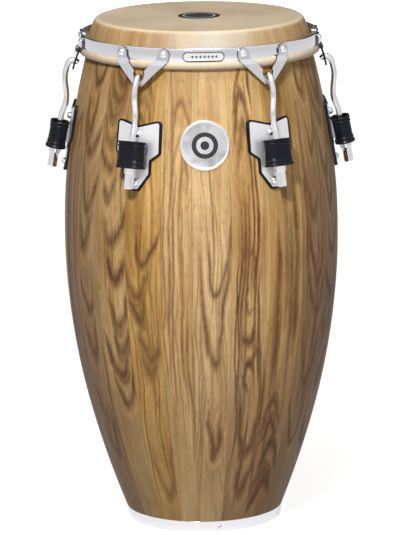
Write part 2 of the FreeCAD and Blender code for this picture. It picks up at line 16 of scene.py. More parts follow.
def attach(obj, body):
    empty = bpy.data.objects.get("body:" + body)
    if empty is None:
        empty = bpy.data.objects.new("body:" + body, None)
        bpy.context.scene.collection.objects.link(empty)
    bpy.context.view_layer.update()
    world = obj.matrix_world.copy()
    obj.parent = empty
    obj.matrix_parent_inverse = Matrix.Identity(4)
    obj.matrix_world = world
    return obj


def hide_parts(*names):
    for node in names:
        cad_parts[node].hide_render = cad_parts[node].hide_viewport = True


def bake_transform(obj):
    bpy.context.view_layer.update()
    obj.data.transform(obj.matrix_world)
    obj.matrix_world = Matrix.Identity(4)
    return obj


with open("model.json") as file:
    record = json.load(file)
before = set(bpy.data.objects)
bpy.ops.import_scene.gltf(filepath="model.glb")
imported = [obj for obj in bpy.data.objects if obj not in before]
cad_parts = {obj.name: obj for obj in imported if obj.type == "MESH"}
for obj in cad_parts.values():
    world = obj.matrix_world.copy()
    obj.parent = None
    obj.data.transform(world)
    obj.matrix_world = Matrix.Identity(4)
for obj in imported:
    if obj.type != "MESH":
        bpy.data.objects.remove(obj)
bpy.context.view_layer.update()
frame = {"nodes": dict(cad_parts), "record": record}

MM = 0.001
LUG_AZIMUTHS = [-30.0 + 60.0 * k for k in range(6)]

# The shell's outer face: radius at each height.
SHELL_Z = np.array([16.05, *range(20, 701, 10), 705.0])
SHELL_R = np.array([
    110.0,
    111.53, 115.36, 119.12, 122.8, 126.4, 129.92, 133.36, 136.7,
    139.95, 143.1, 146.16, 149.14, 152.04, 154.85, 157.57, 160.19, 162.7, 165.1,
    167.39, 169.57, 171.64, 173.6, 175.45, 177.2, 178.83, 180.37, 181.8, 183.13,
    184.35, 185.47, 186.49, 187.4, 188.2, 188.89, 189.48, 189.95, 190.3, 190.54,
    190.67, 190.7, 190.64, 190.5, 190.28, 189.96, 189.54, 188.99, 188.3, 187.46,
    186.47, 185.35, 184.1, 182.73, 181.25, 179.67, 178.0, 176.25, 174.42, 172.52,
    170.55, 168.51, 166.4, 164.2, 161.91, 159.56, 157.2, 154.84, 152.41, 149.8,
    146.56, 144.5])
SHELL_SLOPE = np.gradient(SHELL_R, SHELL_Z)

# The rounded bearing edge at the top of the staves: its radius and the centre of its arc.
EDGE_ROUND = 7.0
EDGE_R = SHELL_R[-1] - EDGE_ROUND * cos(radians(21.0))
EDGE_Z = 702.5

BAND_R = 165.0                  # outer radius of the crown band
LABEL_Z = 679.9                 # height of the label's middle on the band

# Lug axis: radius and height of its middle, lean towards the drum (degrees).
LUG_R, LUG_Z, LUG_TILT = 198.3, 548.0, 11.5


# ---------------------------------------------------------------- geometry helpers
def smooth(start, end, x):
    """Smooth step from 0 at start to 1 at end."""
    t = np.clip((np.asarray(x, float) - start) / (end - start), 0, 1)
    return t * t * (3 - 2 * t)


def tilted(points, radius, height, tilt):
    """Local frame (x across, y towards the axis, z up the tilt) to the front of the drum."""
    points = np.asarray(points, float)
    angle = radians(tilt)
    x, y, z = points[..., 0], points[..., 1], points[..., 2]
    return np.stack([x, y * cos(angle) + z * sin(angle) - radius,
                     -y * sin(angle) + z * cos(angle) + height], -1)


def turned(points, azimuth):
    """Points turned about the Z axis from the front to an azimuth."""
    points = np.asarray(points, float)
    angle = radians(azimuth)
    x, y = points[..., 0], points[..., 1]
    return np.stack([x * cos(angle) - y * sin(angle), x * sin(angle) + y * cos(angle),
                     points[..., 2]], -1)


def ring_points(radius, z, azimuths):
    angle = np.radians(azimuths)
    return np.stack([radius * np.sin(angle), -radius * np.cos(angle), z * np.ones_like(angle)], -1)


def round_the_clock(count):
    """Evenly spaced azimuths, one full turn."""
    return np.arange(count) * 360.0 / count


def revolve(profile, count):
    """Rings of points for a profile of (radius, z)."""
    azimuths = round_the_clock(count)
    return np.concatenate([ring_points(radius, z, azimuths) for radius, z in profile])


def round_polygon(corners, steps):
    """Closed polygon of (x, y, fillet radius) as points, steps + 1 to each fillet."""
    points = []
    for index, (x, y, radius) in enumerate(corners):
        if radius <= 0:
            points.append((x, y))
            continue
        corner = np.array((x, y), float)
        back = np.subtract(corners[index - 1][:2], corner)
        ahead = np.subtract(corners[(index + 1) % len(corners)][:2], corner)
        back = back / hypot(*back)
        ahead = ahead / hypot(*ahead)
        cross = back[0] * ahead[1] - back[1] * ahead[0]
        half = 0.5 * atan2(abs(cross), back @ ahead)
        bisector = back + ahead
        centre = corner + bisector / hypot(*bisector) * radius / sin(half)
        first = corner + back * radius / tan(half) - centre
        last = corner + ahead * radius / tan(half) - centre
        start = atan2(first[1], first[0])
        sweep = (atan2(last[1], last[0]) - start + pi) % (2 * pi) - pi
        for k in range(steps + 1):
            angle = start + sweep * k / steps
            points.append((centre[0] + radius * cos(angle), centre[1] + radius * sin(angle)))
    return points


def shell_radius(z):
    return np.interp(z, SHELL_Z, SHELL_R)


def off_shell(z, distance):
    """(radius, z) of the point outside the shell's face at height z, square to it."""
    slope = np.interp(z, SHELL_Z, SHELL_SLOPE)
    out = 1 / np.sqrt(1 + slope * slope)
    return shell_radius(z) + distance * out, z - distance * out * slope


def grid_faces(rows, columns, wrap_rows, wrap_columns, base=0):
    faces = []
    for i in range(rows if wrap_rows else rows - 1):
        here, above = base + i * columns, base + (i + 1) % rows * columns
        for j in range(columns if wrap_columns else columns - 1):
            after = (j + 1) % columns
            faces.append((here + j, here + after, above + after, above + j))
    return faces


def capped_faces(rows, columns):
    """A tube of rings with its first and last ring closed."""
    last = (rows - 1) * columns
    caps = [tuple(range(columns)), tuple(range(last, last + columns))]
    return grid_faces(rows, columns, False, True) + caps


def make(name, points, faces, sharp, slot, replaces, body="shell"):
    """Add a mesh object.  sharp is the angle (degrees) above which edges stay sharp, slot also
    names the finish, replaces lists the CAD pieces it stands for, body is what it rides on."""
    mesh = bpy.data.meshes.new(name)
    mesh.from_pydata([tuple(point) for point in np.asarray(points, float) * MM], [], faces)
    mesh.validate()
    mesh.shade_smooth()
    mesh.set_sharp_from_angle(angle=radians(sharp))
    ob = bpy.data.objects.new(name, mesh)
    bpy.context.scene.collection.objects.link(ob)
    mesh.materials.append(FINISHES[slot])
    if body:
        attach(ob, body)
    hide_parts(*replaces)
    # make the faces look outwards
    work = bmesh.new()
    work.from_mesh(mesh)
    bmesh.ops.recalc_face_normals(work, faces=work.faces)
    work.to_mesh(mesh)
    work.free()
    return ob


def set_attributes(ob, **attributes):
    """Store point attributes: rows of three as vectors, plain lists as floats."""
    for name, values in attributes.items():
        values = np.asarray(values, np.float32)
        kind, key = ("FLOAT_VECTOR", "vector") if values.ndim == 2 else ("FLOAT", "value")
        attribute = ob.data.attributes.new(name, kind, "POINT")
        attribute.data.foreach_set(key, values.ravel())


# ---------------------------------------------------------------- shader helpers
class Signal:
    """One output of a shader node.  Arithmetic on it adds Math nodes."""

    def __init__(self, shader, socket):
        self.shader = shader
        self.socket = socket

    def math(self, operation, *others):
        return self.shader.math(operation, self, *others)

    def __abs__(self):
        return self.math("ABSOLUTE")

    def at_least(self, other):
        return self.math("MAXIMUM", other)

    def at_most(self, other):
        return self.math("MINIMUM", other)

    def bell(self):
        """exp(-x * x): 1 at zero, fading to both sides."""
        return (self * self * -1.0).math("EXPONENT")

    def rise(self, start, end):
        """Smooth step from 0 at start to 1 at end."""
        return self.shader.node("MapRange", {0: self, 1: start, 2: end},
                                interpolation_type="SMOOTHSTEP", clamp=True)

    def remap(self, at, to):
        """Linear and clamped: the values in at become those in to."""
        return self.shader.node("MapRange", {0: self, 1: at[0], 2: at[1], 3: to[0], 4: to[1]},
                                clamp=True)

    def scaled(self, factor):
        """A colour times a number."""
        return self.shader.node("VectorMath", {0: self, 3: factor}, operation="SCALE")


for method, operation in (("add", "ADD"), ("sub", "SUBTRACT"), ("mul", "MULTIPLY"),
                          ("truediv", "DIVIDE")):
    setattr(Signal, f"__{method}__",
            lambda self, other, op=operation: self.shader.math(op, self, other))
    setattr(Signal, f"__r{method}__",
            lambda self, other, op=operation: self.shader.math(op, other, self))


class Shader:
    """The node tree of a material or a world, emptied and ready to build."""

    def __init__(self, owner):
        owner.use_nodes = True
        self.owner = owner
        self.tree = owner.node_tree
        self.tree.nodes.clear()

    def feed(self, socket, value):
        if isinstance(value, Signal):
            self.tree.links.new(value.socket, socket)
        elif isinstance(value, tuple) and len(value) == 3 and socket.type == "RGBA":
            socket.default_value = (*value, 1.0)
        else:
            socket.default_value = value

    def node(self, kind, inputs=(), out=0, **properties):
        """Add a node, feed its inputs and return the output out (a list if out is a tuple)."""
        node = self.tree.nodes.new("ShaderNode" + kind)
        for key, value in properties.items():
            setattr(node, key, value)
        for key, value in dict(inputs).items():
            self.feed(node.inputs[key], value)
        if isinstance(out, tuple):
            return [Signal(self, node.outputs[key]) for key in out]
        return Signal(self, node.outputs[out])

    def math(self, operation, *values):
        return self.node("Math", enumerate(values), operation=operation)

    def attribute(self, name, out="Vector"):
        return self.node("Attribute", out=out, attribute_name=name)

    def coordinates(self, which="Object"):
        return self.node("TexCoord", out=which)

    def separate(self, vector):
        return self.node("SeparateXYZ", {0: vector}, out=(0, 1, 2))

    def combine(self, vector):
        return self.node("CombineXYZ", enumerate(vector)) if isinstance(vector, tuple) else vector

    def noise(self, vector, scale=1.0, detail=2.0, rough=0.5):
        """Noise at a vector, or at a tuple of x, y, z in noise cells."""
        return self.node("TexNoise", {"Vector": self.combine(vector), "Scale": scale,
                                      "Detail": detail, "Roughness": rough},
                         noise_dimensions="3D")

    def white_noise(self, vector):
        return self.node("TexWhiteNoise", {"Vector": self.combine(vector)}, out="Value",
                         noise_dimensions="3D")

    def mix(self, amount, first, second):
        return self.node("Mix", {0: amount, 6: first, 7: second}, out=2,
                         data_type="RGBA", blend_type="MIX")

    def ramp(self, amount, positions, colours):
        node = self.tree.nodes.new("ShaderNodeValToRGB")
        elements = node.color_ramp.elements
        while len(elements) < len(positions):
            elements.new(0.5)
        for element, position, colour in zip(elements, positions, colours):
            element.position = position
            element.color = (*colour, 1.0)
        self.feed(node.inputs[0], amount)
        return Signal(self, node.outputs[0])

    def bump(self, height, distance, strength):
        return self.node("Bump", {"Strength": strength, "Distance": distance, "Height": height})

    def output(self, kind, surface):
        node = self.tree.nodes.new("ShaderNodeOutput" + kind)
        self.feed(node.inputs[0], surface)

    def principled(self, **inputs):
        """Close the material with a Principled surface (underscores stand for spaces)."""
        inputs = {key.replace("_", " "): value for key, value in inputs.items()}
        self.output("Material", self.node("BsdfPrincipled", inputs))
        return self.owner


def new_material(name):
    return Shader(bpy.data.materials.new(name))


# ---------------------------------------------------------------- finishes
# A coordinate times a number inside noise(...) sets the cells per metre (or radian) that way;
# a bare number there picks a slice of the noise, so that patterns differ.
def wood():
    """Staves: growth lines that follow the dark streaks, pores, and painted shade towards the foot.
    """
    mat = new_material("stave_wood")
    across, depth, up = mat.separate(mat.attribute("grain"))
    seed, tone, spacing = mat.separate(mat.attribute("tone"))
    # distance from the nearest streak in its half widths, its strength, distance in metres
    widths_off, power, far = mat.separate(mat.attribute("stain"))
    halo = mat.attribute("halo", "Fac")
    edge = mat.attribute("edge", "Fac")
    warm = mat.attribute("warm", "Fac")
    shift = seed * 17.3

    # growth lines: each rises sharply and fades over a random share of the spacing
    ripple = mat.noise((shift + across * 26.0, up * 9.0, 4.0), detail=2.5, rough=0.55) - 0.5
    tiny = mat.noise((shift + across * 160.0, up * 48.0, 9.0), rough=0.6) - 0.5
    ring = (far + ripple * 0.0060 + tiny * 0.0012) / spacing
    number = ring.math("FLOOR")
    phase = ring.math("FRACT")
    strength = mat.white_noise((number, shift, 0.0))
    width = mat.white_noise((number, shift, 5.0)).remap(at=(0, 1), to=(0.30, 0.80))
    attack = phase.rise(start=0.0, end=0.10)
    fade = (1.0 - phase / width).at_least(0.0)
    patch = mat.noise((shift + across * 22.0, up * 7.0, 13.0))
    line = (attack * fade * strength.remap(at=(0.15, 1.0), to=(0.0, 1.0))
            * patch.remap(at=(0.42, 0.66), to=(0.05, 0.85)))

    # pores are short dashes along the grain
    pores = mat.noise((across * 820.0, up * 95.0, depth * 900.0), detail=3.0, rough=0.65)
    pores = pores.rise(start=0.47, end=0.66)
    fibre = mat.noise((across * 620.0, up * 16.0, depth * 620.0 + shift), detail=3.0, rough=0.6)
    wide = mat.noise((across * 150.0, up * 6.0, shift + 3.0))
    cloud = mat.noise((across * 26.0 + shift, up * 5.5, 21.0), detail=3.0, rough=0.55)
    khaki, gold, umber = [mat.ramp(cloud, (0.30, 0.47, 0.68), colours) for colours in (
        ((0.46, 0.290, 0.125), (0.60, 0.405, 0.200), (0.70, 0.505, 0.275)),
        ((0.40, 0.200, 0.048), (0.56, 0.325, 0.092), (0.66, 0.420, 0.140)),
        ((0.26, 0.145, 0.078), (0.345, 0.200, 0.108), (0.45, 0.275, 0.150)))]
    base = mat.mix(warm, khaki, gold)
    # brown umber: the wood's own tone, and on the side staves painted shade where the drum turns
    # from the light
    base = mat.mix(mat.attribute("umber", "Fac"), base, umber)
    base = base.scaled(tone * fibre.remap(at=(0.2, 0.8), to=(0.78, 1.20))
                       * wide.remap(at=(0.2, 0.8), to=(0.80, 1.18)))

    # dark streaks with combed edges and a soft glow round them
    jag = mat.noise((across * 560.0, up * 62.0, shift * 3.0), detail=3.0, rough=0.7)
    comb = jag - 0.5
    jag = jag.rise(start=0.30, end=0.70)
    big = mat.noise((across * 70.0, up * 26.0, shift * 5.0), rough=0.6)
    combed = (widths_off * 0.80 + comb * 2.8).at_least(0.0)
    streak = power * combed.bell() * big.remap(at=(0.3, 0.7), to=(0.92, 1.45))
    streak = streak.math("SMOOTH_MIN", 0.88, 0.2)       # ceiling, softness
    glow = (halo * jag.remap(at=(0.0, 1.0), to=(0.35, 0.95))
            * big.remap(at=(0.3, 0.7), to=(0.6, 1.15)))
    # pale wood beside each streak, 2.9 half widths out and 0.9 broad
    flank = power * ((widths_off + comb * 3.0 - 2.9) / 0.9).bell()
    colour = mat.mix((glow * 0.92).at_most(0.72), base, (0.240, 0.098, 0.036))
    colour = colour.scaled(1.0 + flank * 0.38)
    dark = (line * jag.remap(at=(0.0, 1.0), to=(0.40, 0.85))).at_least(streak)
    colour = mat.mix(dark.at_most(0.90), colour, (0.078, 0.025, 0.010))
    near = (glow * 0.55 + dark * 0.55).at_most(0.75)
    colour = mat.mix(pores * (0.18 + near * 0.60), colour, (0.135, 0.052, 0.024))

    # darkened joints, and painted shade towards the foot where less light falls
    seam = 1.0 - edge.rise(start=0.00005, end=0.0008)
    colour = mat.mix(seam * 0.45, colour, (0.16, 0.09, 0.05))
    low = 1.0 - up.rise(start=0.02, end=0.42)
    colour = mat.mix(low * 0.30, colour, mat.mix(0.6, colour, (0.30, 0.20, 0.12)))
    relief = fibre * 0.5 + pores * -0.6 + dark * -0.4
    facing = mat.node("LayerWeight", out="Facing")
    return mat.principled(
        Base_Color=colour, Roughness=0.40 + dark * 0.10,
        Normal=mat.bump(relief, distance=0.00012, strength=0.30),
        Specular_IOR_Level=(1.0 - facing) * 0.20)


def polished(name, tint, rough, wear, painted_edge_shade=0.0, metal=1.0):
    """Plated steel.  wear varies the roughness; cut paints shade on the faces that don't look
    outwards, the sheet's edges.
    """
    mat = new_material(name)
    position = mat.coordinates()
    coarse = mat.noise(position, scale=55.0, detail=3.0, rough=0.6)
    fine = mat.noise(position, scale=420.0, rough=0.6)
    roughness = rough + (coarse - 0.5) * wear + (fine - 0.5) * (wear * 0.6)
    colour = mat.mix(coarse.remap(at=(0.3, 0.8), to=(0.0, 0.25)),
                     tint, tuple(channel * 0.93 for channel in tint))
    if painted_edge_shade:
        # painted shade: faces that don't look outwards, the sheet's edges, are darkened where shade
        # falls on them
        normal = mat.node("NewGeometry", out="True Normal")
        x, y, _ = mat.separate(position)
        normal_x, normal_y, _ = mat.separate(normal)
        radius = (x * x + y * y).math("SQRT")
        outward = abs((x * normal_x + y * normal_y) / radius)
        colour = colour.scaled((1.0 - painted_edge_shade) + outward.rise(start=0.45, end=0.75) * painted_edge_shade)
    return mat.principled(Base_Color=colour, Metallic=metal, Roughness=roughness,
                          Normal=mat.bump(coarse, distance=0.0004, strength=0.06))


def brushed(name, tint, rough):
    """Steel with fine level brush marks."""
    mat = new_material(name)
    x, y, z = mat.separate(mat.coordinates())
    marks = mat.noise((x * 60.0, y * 60.0, z * 900.0))
    return mat.principled(
        Base_Color=mat.mix(marks, tint, tuple(channel * 0.8 for channel in tint)),
        Metallic=1.0, Roughness=rough + (marks - 0.5) * 0.14,
        Normal=mat.bump(marks, distance=0.0002, strength=0.1))


def rubber():
    mat = new_material("black_rubber")
    position = mat.coordinates()
    grain = mat.noise(position, scale=900.0, detail=3.0, rough=0.65)
    cloud = mat.noise(position, scale=40.0)
    return mat.principled(
        Base_Color=mat.mix(cloud, (0.0032, 0.0038, 0.0080), (0.0062, 0.0070, 0.0130)),
        Roughness=0.26 + cloud * 0.10, Specular_IOR_Level=0.19,
        Normal=mat.bump(grain, distance=0.0002, strength=0.25))


def rawhide():
    """Skin: cloudy on top, streaked and amber down the side."""
    mat = new_material("rawhide")
    # azimuth in radians, path down the skin in metres, 0 on top .. 1 on the side
    azimuth, path, rim = mat.separate(mat.attribute("hide"))
    flat = mat.attribute("flat")
    x, y, _ = mat.separate(flat)
    cloud = mat.noise(flat, scale=7.0, detail=4.0, rough=0.55)
    fine = mat.noise(flat, scale=160.0, detail=4.0, rough=0.65)
    hair = mat.noise((x * 90.0, y * 420.0, 3.0), detail=3.0, rough=0.6)
    top = mat.ramp(cloud, (0.32, 0.50, 0.70),
                   ((0.50, 0.375, 0.235), (0.60, 0.475, 0.320), (0.68, 0.56, 0.405)))
    top = top.scaled(fine.remap(at=(0.25, 0.75), to=(0.95, 1.05)))
    top = top.scaled(hair.remap(at=(0.2, 0.8), to=(0.96, 1.04)))

    # side: streaks running down
    broad = mat.noise((azimuth * 9.0, path * 6.0, 1.0), detail=3.0, rough=0.55)
    narrow = mat.noise((azimuth * 60.0, path * 14.0, 7.0), rough=0.6)
    side = mat.ramp(broad, (0.30, 0.48, 0.70),
                    ((0.46, 0.260, 0.100), (0.57, 0.360, 0.155), (0.66, 0.46, 0.24)))
    side = side.scaled(narrow.remap(at=(0.2, 0.8), to=(0.70, 0.86)))
    # brown blotches on the -X side of the front
    blotch = mat.noise((azimuth * 14.0, path * 9.0, 30.0), detail=3.0, rough=0.6)
    brown = blotch.rise(start=0.44, end=0.60) * (
        azimuth.rise(start=-1.35, end=-0.85) * (1.0 - azimuth.rise(start=-0.40, end=-0.12)))
    side = mat.mix(brown * 0.40, side, (0.30, 0.145, 0.055))
    # painted highlight: a pale tongue at the front where the light falls on the side: azimuth 0.14,
    # half breadth 0.36 radians
    pale = ((azimuth - 0.14) / 0.36).bell()
    pale = pale * mat.noise((azimuth * 6.0, path * 10.0, 50.0)).remap(at=(0.3, 0.7), to=(0.70, 1.0))
    side = mat.mix(pale, side, (0.60, 0.55, 0.46))
    # the roll round the flesh hoop
    roll = path.rise(start=0.178, end=0.186)
    side = mat.mix(roll * 0.85, side, mat.mix(narrow, (0.62, 0.50, 0.34), (0.80, 0.70, 0.54)))
    colour = mat.mix(rim, top, side)
    # painted highlight: a pale line where the skin turns over the bearing edge: place and half
    # breadth
    line = ((path - 0.1425) / 0.0032).bell()
    colour = mat.mix(line * 0.55, colour, (0.88, 0.76, 0.56))
    relief = fine * 0.6 + narrow * (rim * 1.2)
    return mat.principled(
        Base_Color=colour, Roughness=0.44 + fine * 0.12,
        Normal=mat.bump(relief, distance=0.0003, strength=0.30),
        Subsurface_Weight=0.12, Subsurface_Radius=(0.006, 0.003, 0.0015), Subsurface_Scale=0.5,
        Specular_IOR_Level=0.40, Coat_Weight=0.08, Coat_Roughness=0.35)


def badge_metal():
    """part: 0 plate, 1 rim, 2 inlay."""
    mat = new_material("badge_metal")
    part = mat.attribute("part", "Fac")
    x, y, z = mat.separate(mat.coordinates())
    brush = mat.noise((x * 45.0, y * 45.0, z * 700.0), detail=3.0)
    cloud = mat.noise(mat.coordinates(), scale=38.0)
    plate = mat.mix(brush, (0.64, 0.64, 0.66), (0.73, 0.73, 0.75))
    plate = mat.mix(cloud.rise(start=0.42, end=0.62), plate, (0.46, 0.47, 0.49))
    inlay = part.rise(start=1.45, end=1.55)
    rim = part.rise(start=0.45, end=0.55) * (1.0 - inlay)
    colour = mat.mix(rim, plate, (0.86, 0.85, 0.87))
    colour = mat.mix(inlay, colour, (0.018, 0.016, 0.022))
    return mat.principled(Base_Color=colour, Metallic=1.0 - inlay * 1.0,
                          Roughness=rim * -0.06 + 0.24 + brush * 0.08)


def label_enamel():
    """part: 0 pale face, 1 dark rim.  A row of dark lozenges runs along the middle."""
    pitch = 0.0054
    mat = new_material("label_enamel")
    part = mat.attribute("part", "Fac")
    speckle = mat.noise(mat.coordinates(), scale=300.0)
    ink = part.rise(start=0.45, end=0.55)
    x, _, z = mat.separate(mat.coordinates())
    cell = abs(((x + 0.05) / pitch).math("FRACT") - 0.5)
    lozenge = cell * pitch + abs(z - LABEL_Z * MM)
    row = ((1.0 - lozenge.rise(start=0.0020, end=0.0023))
           * (1.0 - abs(x).rise(start=0.0186, end=0.0190)))
    ink = ink.at_least(row * 0.85)
    face = mat.mix(speckle, (0.78, 0.78, 0.80), (0.70, 0.70, 0.72))
    return mat.principled(Base_Color=mat.mix(ink, face, (0.020, 0.020, 0.024)),
                          Roughness=0.25 + speckle * 0.08, Coat_Weight=0.5, Coat_Roughness=0.08)


def black_patch():
    """part: 0 black, 1 pale ring."""
    mat = new_material("black_patch")
    part = mat.attribute("part", "Fac")
    speckle = mat.noise(mat.coordinates(), scale=500.0, detail=3.0, rough=0.6)
    pale = part.rise(start=0.45, end=0.55)
    black = mat.mix(speckle, (0.009, 0.008, 0.008), (0.018, 0.016, 0.015))
    return mat.principled(Base_Color=mat.mix(pale, black, (0.66, 0.64, 0.60)),
                          Roughness=0.42 + speckle * 0.16,
                          Normal=mat.bump(speckle, distance=0.0001, strength=0.2))


# Finish of each material slot.
FINISHES = {
    "stave_wood": wood(),
    "chrome": polished("chrome", tint=(0.83, 0.83, 0.87), rough=0.13, wear=0.05),
    "zinc_steel": brushed("zinc_steel", tint=(0.66, 0.66, 0.68), rough=0.28),
    "lug_steel": brushed("lug_steel", tint=(0.46, 0.46, 0.49), rough=0.36),
    "black_rubber": rubber(),
    "rawhide": rawhide(),
    "badge_metal": badge_metal(),
    "label_enamel": label_enamel(),
    "black_patch": black_patch(),
}

# ---------------------------------------------------------------- wood figure
# A stave is sawn from a tapering log, so the dark part of a growth ring crosses its face as a long
# arch, sqrt(leg) wide; away from the heart it is a slow wavering line, and round a hidden knot it
# closes to a whorl.  Each recipe gives the kinds of figure in a stave; places, lengths and widths
# are drawn from the stave's own seed.  Heights and lengths are in mm.
#   arch:  way the legs run (+1 up), low, high, gap, centre (-1..1), spread (mm^0.5), leg,
#          half width, strength
#   line:  count, low, high, first and last place across (-1..1), shortest, longest,
#          half width, strength
#   whorl: count, low, high, centre (-1..1), half breadth, half height, half width, strength
RECIPES = {
    21: [("arch", 1, 90, 650, 52, -0.1, 2.5, 46, 2.6, 0.58),
         ("line", 4, 40, 680, -0.9, 0.9, 90, 260, 1.2, 0.42)],
    22: [("arch", 1, 470, 680, 25, 0.0, 2.7, 36, 2.4, 0.62),
         ("arch", 1, 180, 440, 44, 0.1, 2.5, 50, 2.8, 0.74),
         ("line", 5, 40, 690, -0.95, 0.95, 110, 300, 1.2, 0.46)],
    0: [("arch", 1, 225, 420, 38, -0.1, 2.4, 46, 2.8, 0.70),
        ("line", 8, 30, 690, -0.9, 0.95, 150, 380, 1.2, 0.56),
        ("arch", 1, 40, 120, 60, 0.1, 1.6, 70, 2.4, 0.55),
        ("arch", -1, 590, 690, 26, -0.2, 2.2, 34, 2.2, 0.60)],
    1: [("line", 9, 30, 690, -0.95, 0.95, 200, 460, 1.15, 0.58),
        ("arch", -1, 560, 660, 46, 0.3, 1.7, 70, 1.6, 0.52)],
    2: [("arch", 1, 100, 470, 118, 0.1, 1.75, 112, 2.4, 0.90),
        ("line", 10, 40, 695, -0.95, 0.95, 140, 360, 0.9, 0.46)],
    3: [("whorl", 5, 225, 400, 0.0, 8, 25, 1.8, 0.70),
        ("line", 12, 30, 690, -0.95, 0.95, 140, 380, 1.3, 0.66),
        ("arch", -1, 560, 680, 50, -0.1, 1.8, 50, 1.8, 0.55),
        ("arch", 1, 50, 190, 48, 0.1, 1.9, 70, 2.3, 0.68)],
    4: [("line", 4, 180, 560, -0.8, 0.8, 120, 240, 3.0, 0.60),
        ("line", 6, 30, 690, -0.95, 0.95, 150, 320, 1.2, 0.52),
        ("arch", -1, 70, 200, 24, 0.1, 2.5, 34, 2.2, 0.78)],
    5: [("arch", 1, 80, 640, 80, 0.1, 2.2, 60, 2.4, 0.52),
        ("line", 6, 30, 690, -0.95, 0.95, 110, 300, 1.5, 0.46)],
}
BACK_RECIPES = (22, 3, 0, 2, 1, 4, 21, 5)   # recipes shared out to the other staves
FULL_TURN = 6.283
HALF_FACE = 22.0                            # mm across for a centre of 1, arches and whorls
HALF_FACE_LINES = 23.0                      # the same for lines
LEG_STEPS = (1.0, 0.72, 0.48, 0.29, 0.14, 0.05, 0.01)


def wander(draw, amount, shortest, longest):
    """A smooth sideways drift of the grain along the stave (mm), from three waves."""
    waves = [(draw.uniform(shortest, longest), draw.uniform(0.0, FULL_TURN),
              draw.uniform(0.4, 1.0)) for _ in range(3)]
    total = sum(weight for _, _, weight in waves)
    return lambda z: amount * sum(weight * sin(FULL_TURN * z / length + phase)
                                  for length, phase, weight in waves) / total


# Each of these yields streaks as (points across and up in mm, half width in mm, strength).
def arches(draw, way, low, high, gap, centre, spread, leg, half_width, strength):
    z = low + draw.uniform(0, 0.6) * gap
    middle = centre * HALF_FACE
    while z < high:
        middle = 0.6 * middle + 0.4 * centre * HALF_FACE + draw.uniform(-6.0, 6.0)
        spreads = [spread * draw.uniform(0.55, 1.40) for _ in range(2)]
        legs = [leg * draw.uniform(0.45, 1.6) for _ in range(2)]
        ripple = wander(draw, 2.4, 24.0, 75.0)
        lean = draw.uniform(-5.0, 5.0)
        power = strength * draw.uniform(0.72, 1.1)
        width = half_width * draw.uniform(0.7, 1.25)
        # a strong ring, and at times a fainter one beside it
        for n in range(int(draw.integers(1, 3))):
            offset = n * draw.uniform(7.0, 12.0)
            grow = 1.0 + 0.10 * n
            points = []
            for side, steps in enumerate((LEG_STEPS, LEG_STEPS[::-1])):
                reach = (-1, 1)[side] * spreads[side] * grow
                for t in steps:
                    x = middle + reach * sqrt(t * legs[side]) + lean * t
                    height = z - way * (offset - t * legs[side])
                    points.append((x + ripple(height), height))
            yield points, width * (1.0, 0.5)[n], power * (1.0, 0.72)[n]
        z += gap * draw.uniform(0.50, 1.80)


def lines(draw, count, low, high, first, last, shortest, longest, half_width, strength):
    for n in range(count):
        length = draw.uniform(shortest, longest)
        foot = draw.uniform(low, max(low + 1.0, high - length))
        x = (first + (last - first) * (n + draw.uniform(0.1, 0.9)) / count) * HALF_FACE_LINES
        ripple = wander(draw, 1.6, 50.0, 150.0)
        slope = draw.uniform(-0.012, 0.012)
        steps = max(5, int(length / 22.0))
        climbs = [length * t / steps for t in range(steps + 1)]
        points = [(x + ripple(foot + climb) + slope * climb, foot + climb) for climb in climbs]
        yield points, half_width * draw.uniform(0.6, 1.4), strength * draw.uniform(0.65, 1.1)


def whorls(draw, count, low, high, centre, half_breadth, half_height, half_width, strength):
    for n in range(count):
        middle_z = low + (high - low) * (n + draw.uniform(0.2, 0.8)) / count
        middle_x = centre * HALF_FACE + draw.uniform(-5.0, 5.0)
        breadth = half_breadth * draw.uniform(0.6, 1.35)
        rise = half_height * draw.uniform(0.6, 1.3)
        start = draw.uniform(0.0, FULL_TURN)
        sweep = draw.uniform(3.2, 5.6)
        ripple = wander(draw, 1.3, 18.0, 46.0)
        points = []
        for t in range(15):
            angle = start + sweep * t / 14.0
            z = middle_z + rise * sin(angle)
            points.append((middle_x + breadth * cos(angle) + ripple(z), z))
        yield points, half_width * draw.uniform(0.7, 1.2), strength * draw.uniform(0.75, 1.1)


FIGURES = {"arch": arches, "line": lines, "whorl": whorls}


def streaks_of(stave, squeeze):
    """All dark streaks of a stave, narrowed by squeeze.  Staves off the front are the same
    kinds of timber, some turned end for end."""
    draw = np.random.default_rng(700 + stave)
    front = stave in FRONT_TIMBER
    recipe = RECIPES[stave if front else BACK_RECIPES[(stave * 5) % 8]]
    upside_down = not front and stave % 3 == 1
    drift = wander(draw, 3.2, 170.0, 420.0)
    streaks = []
    for kind, *layer in recipe:
        for points, half_width, strength in FIGURES[kind](draw, *layer):
            if upside_down:
                points = [(x, 720.0 - z) for x, z in points]
            points = [((x + drift(z)) * squeeze, z) for x, z in points]
            streaks.append((points, half_width, strength))
    return streaks


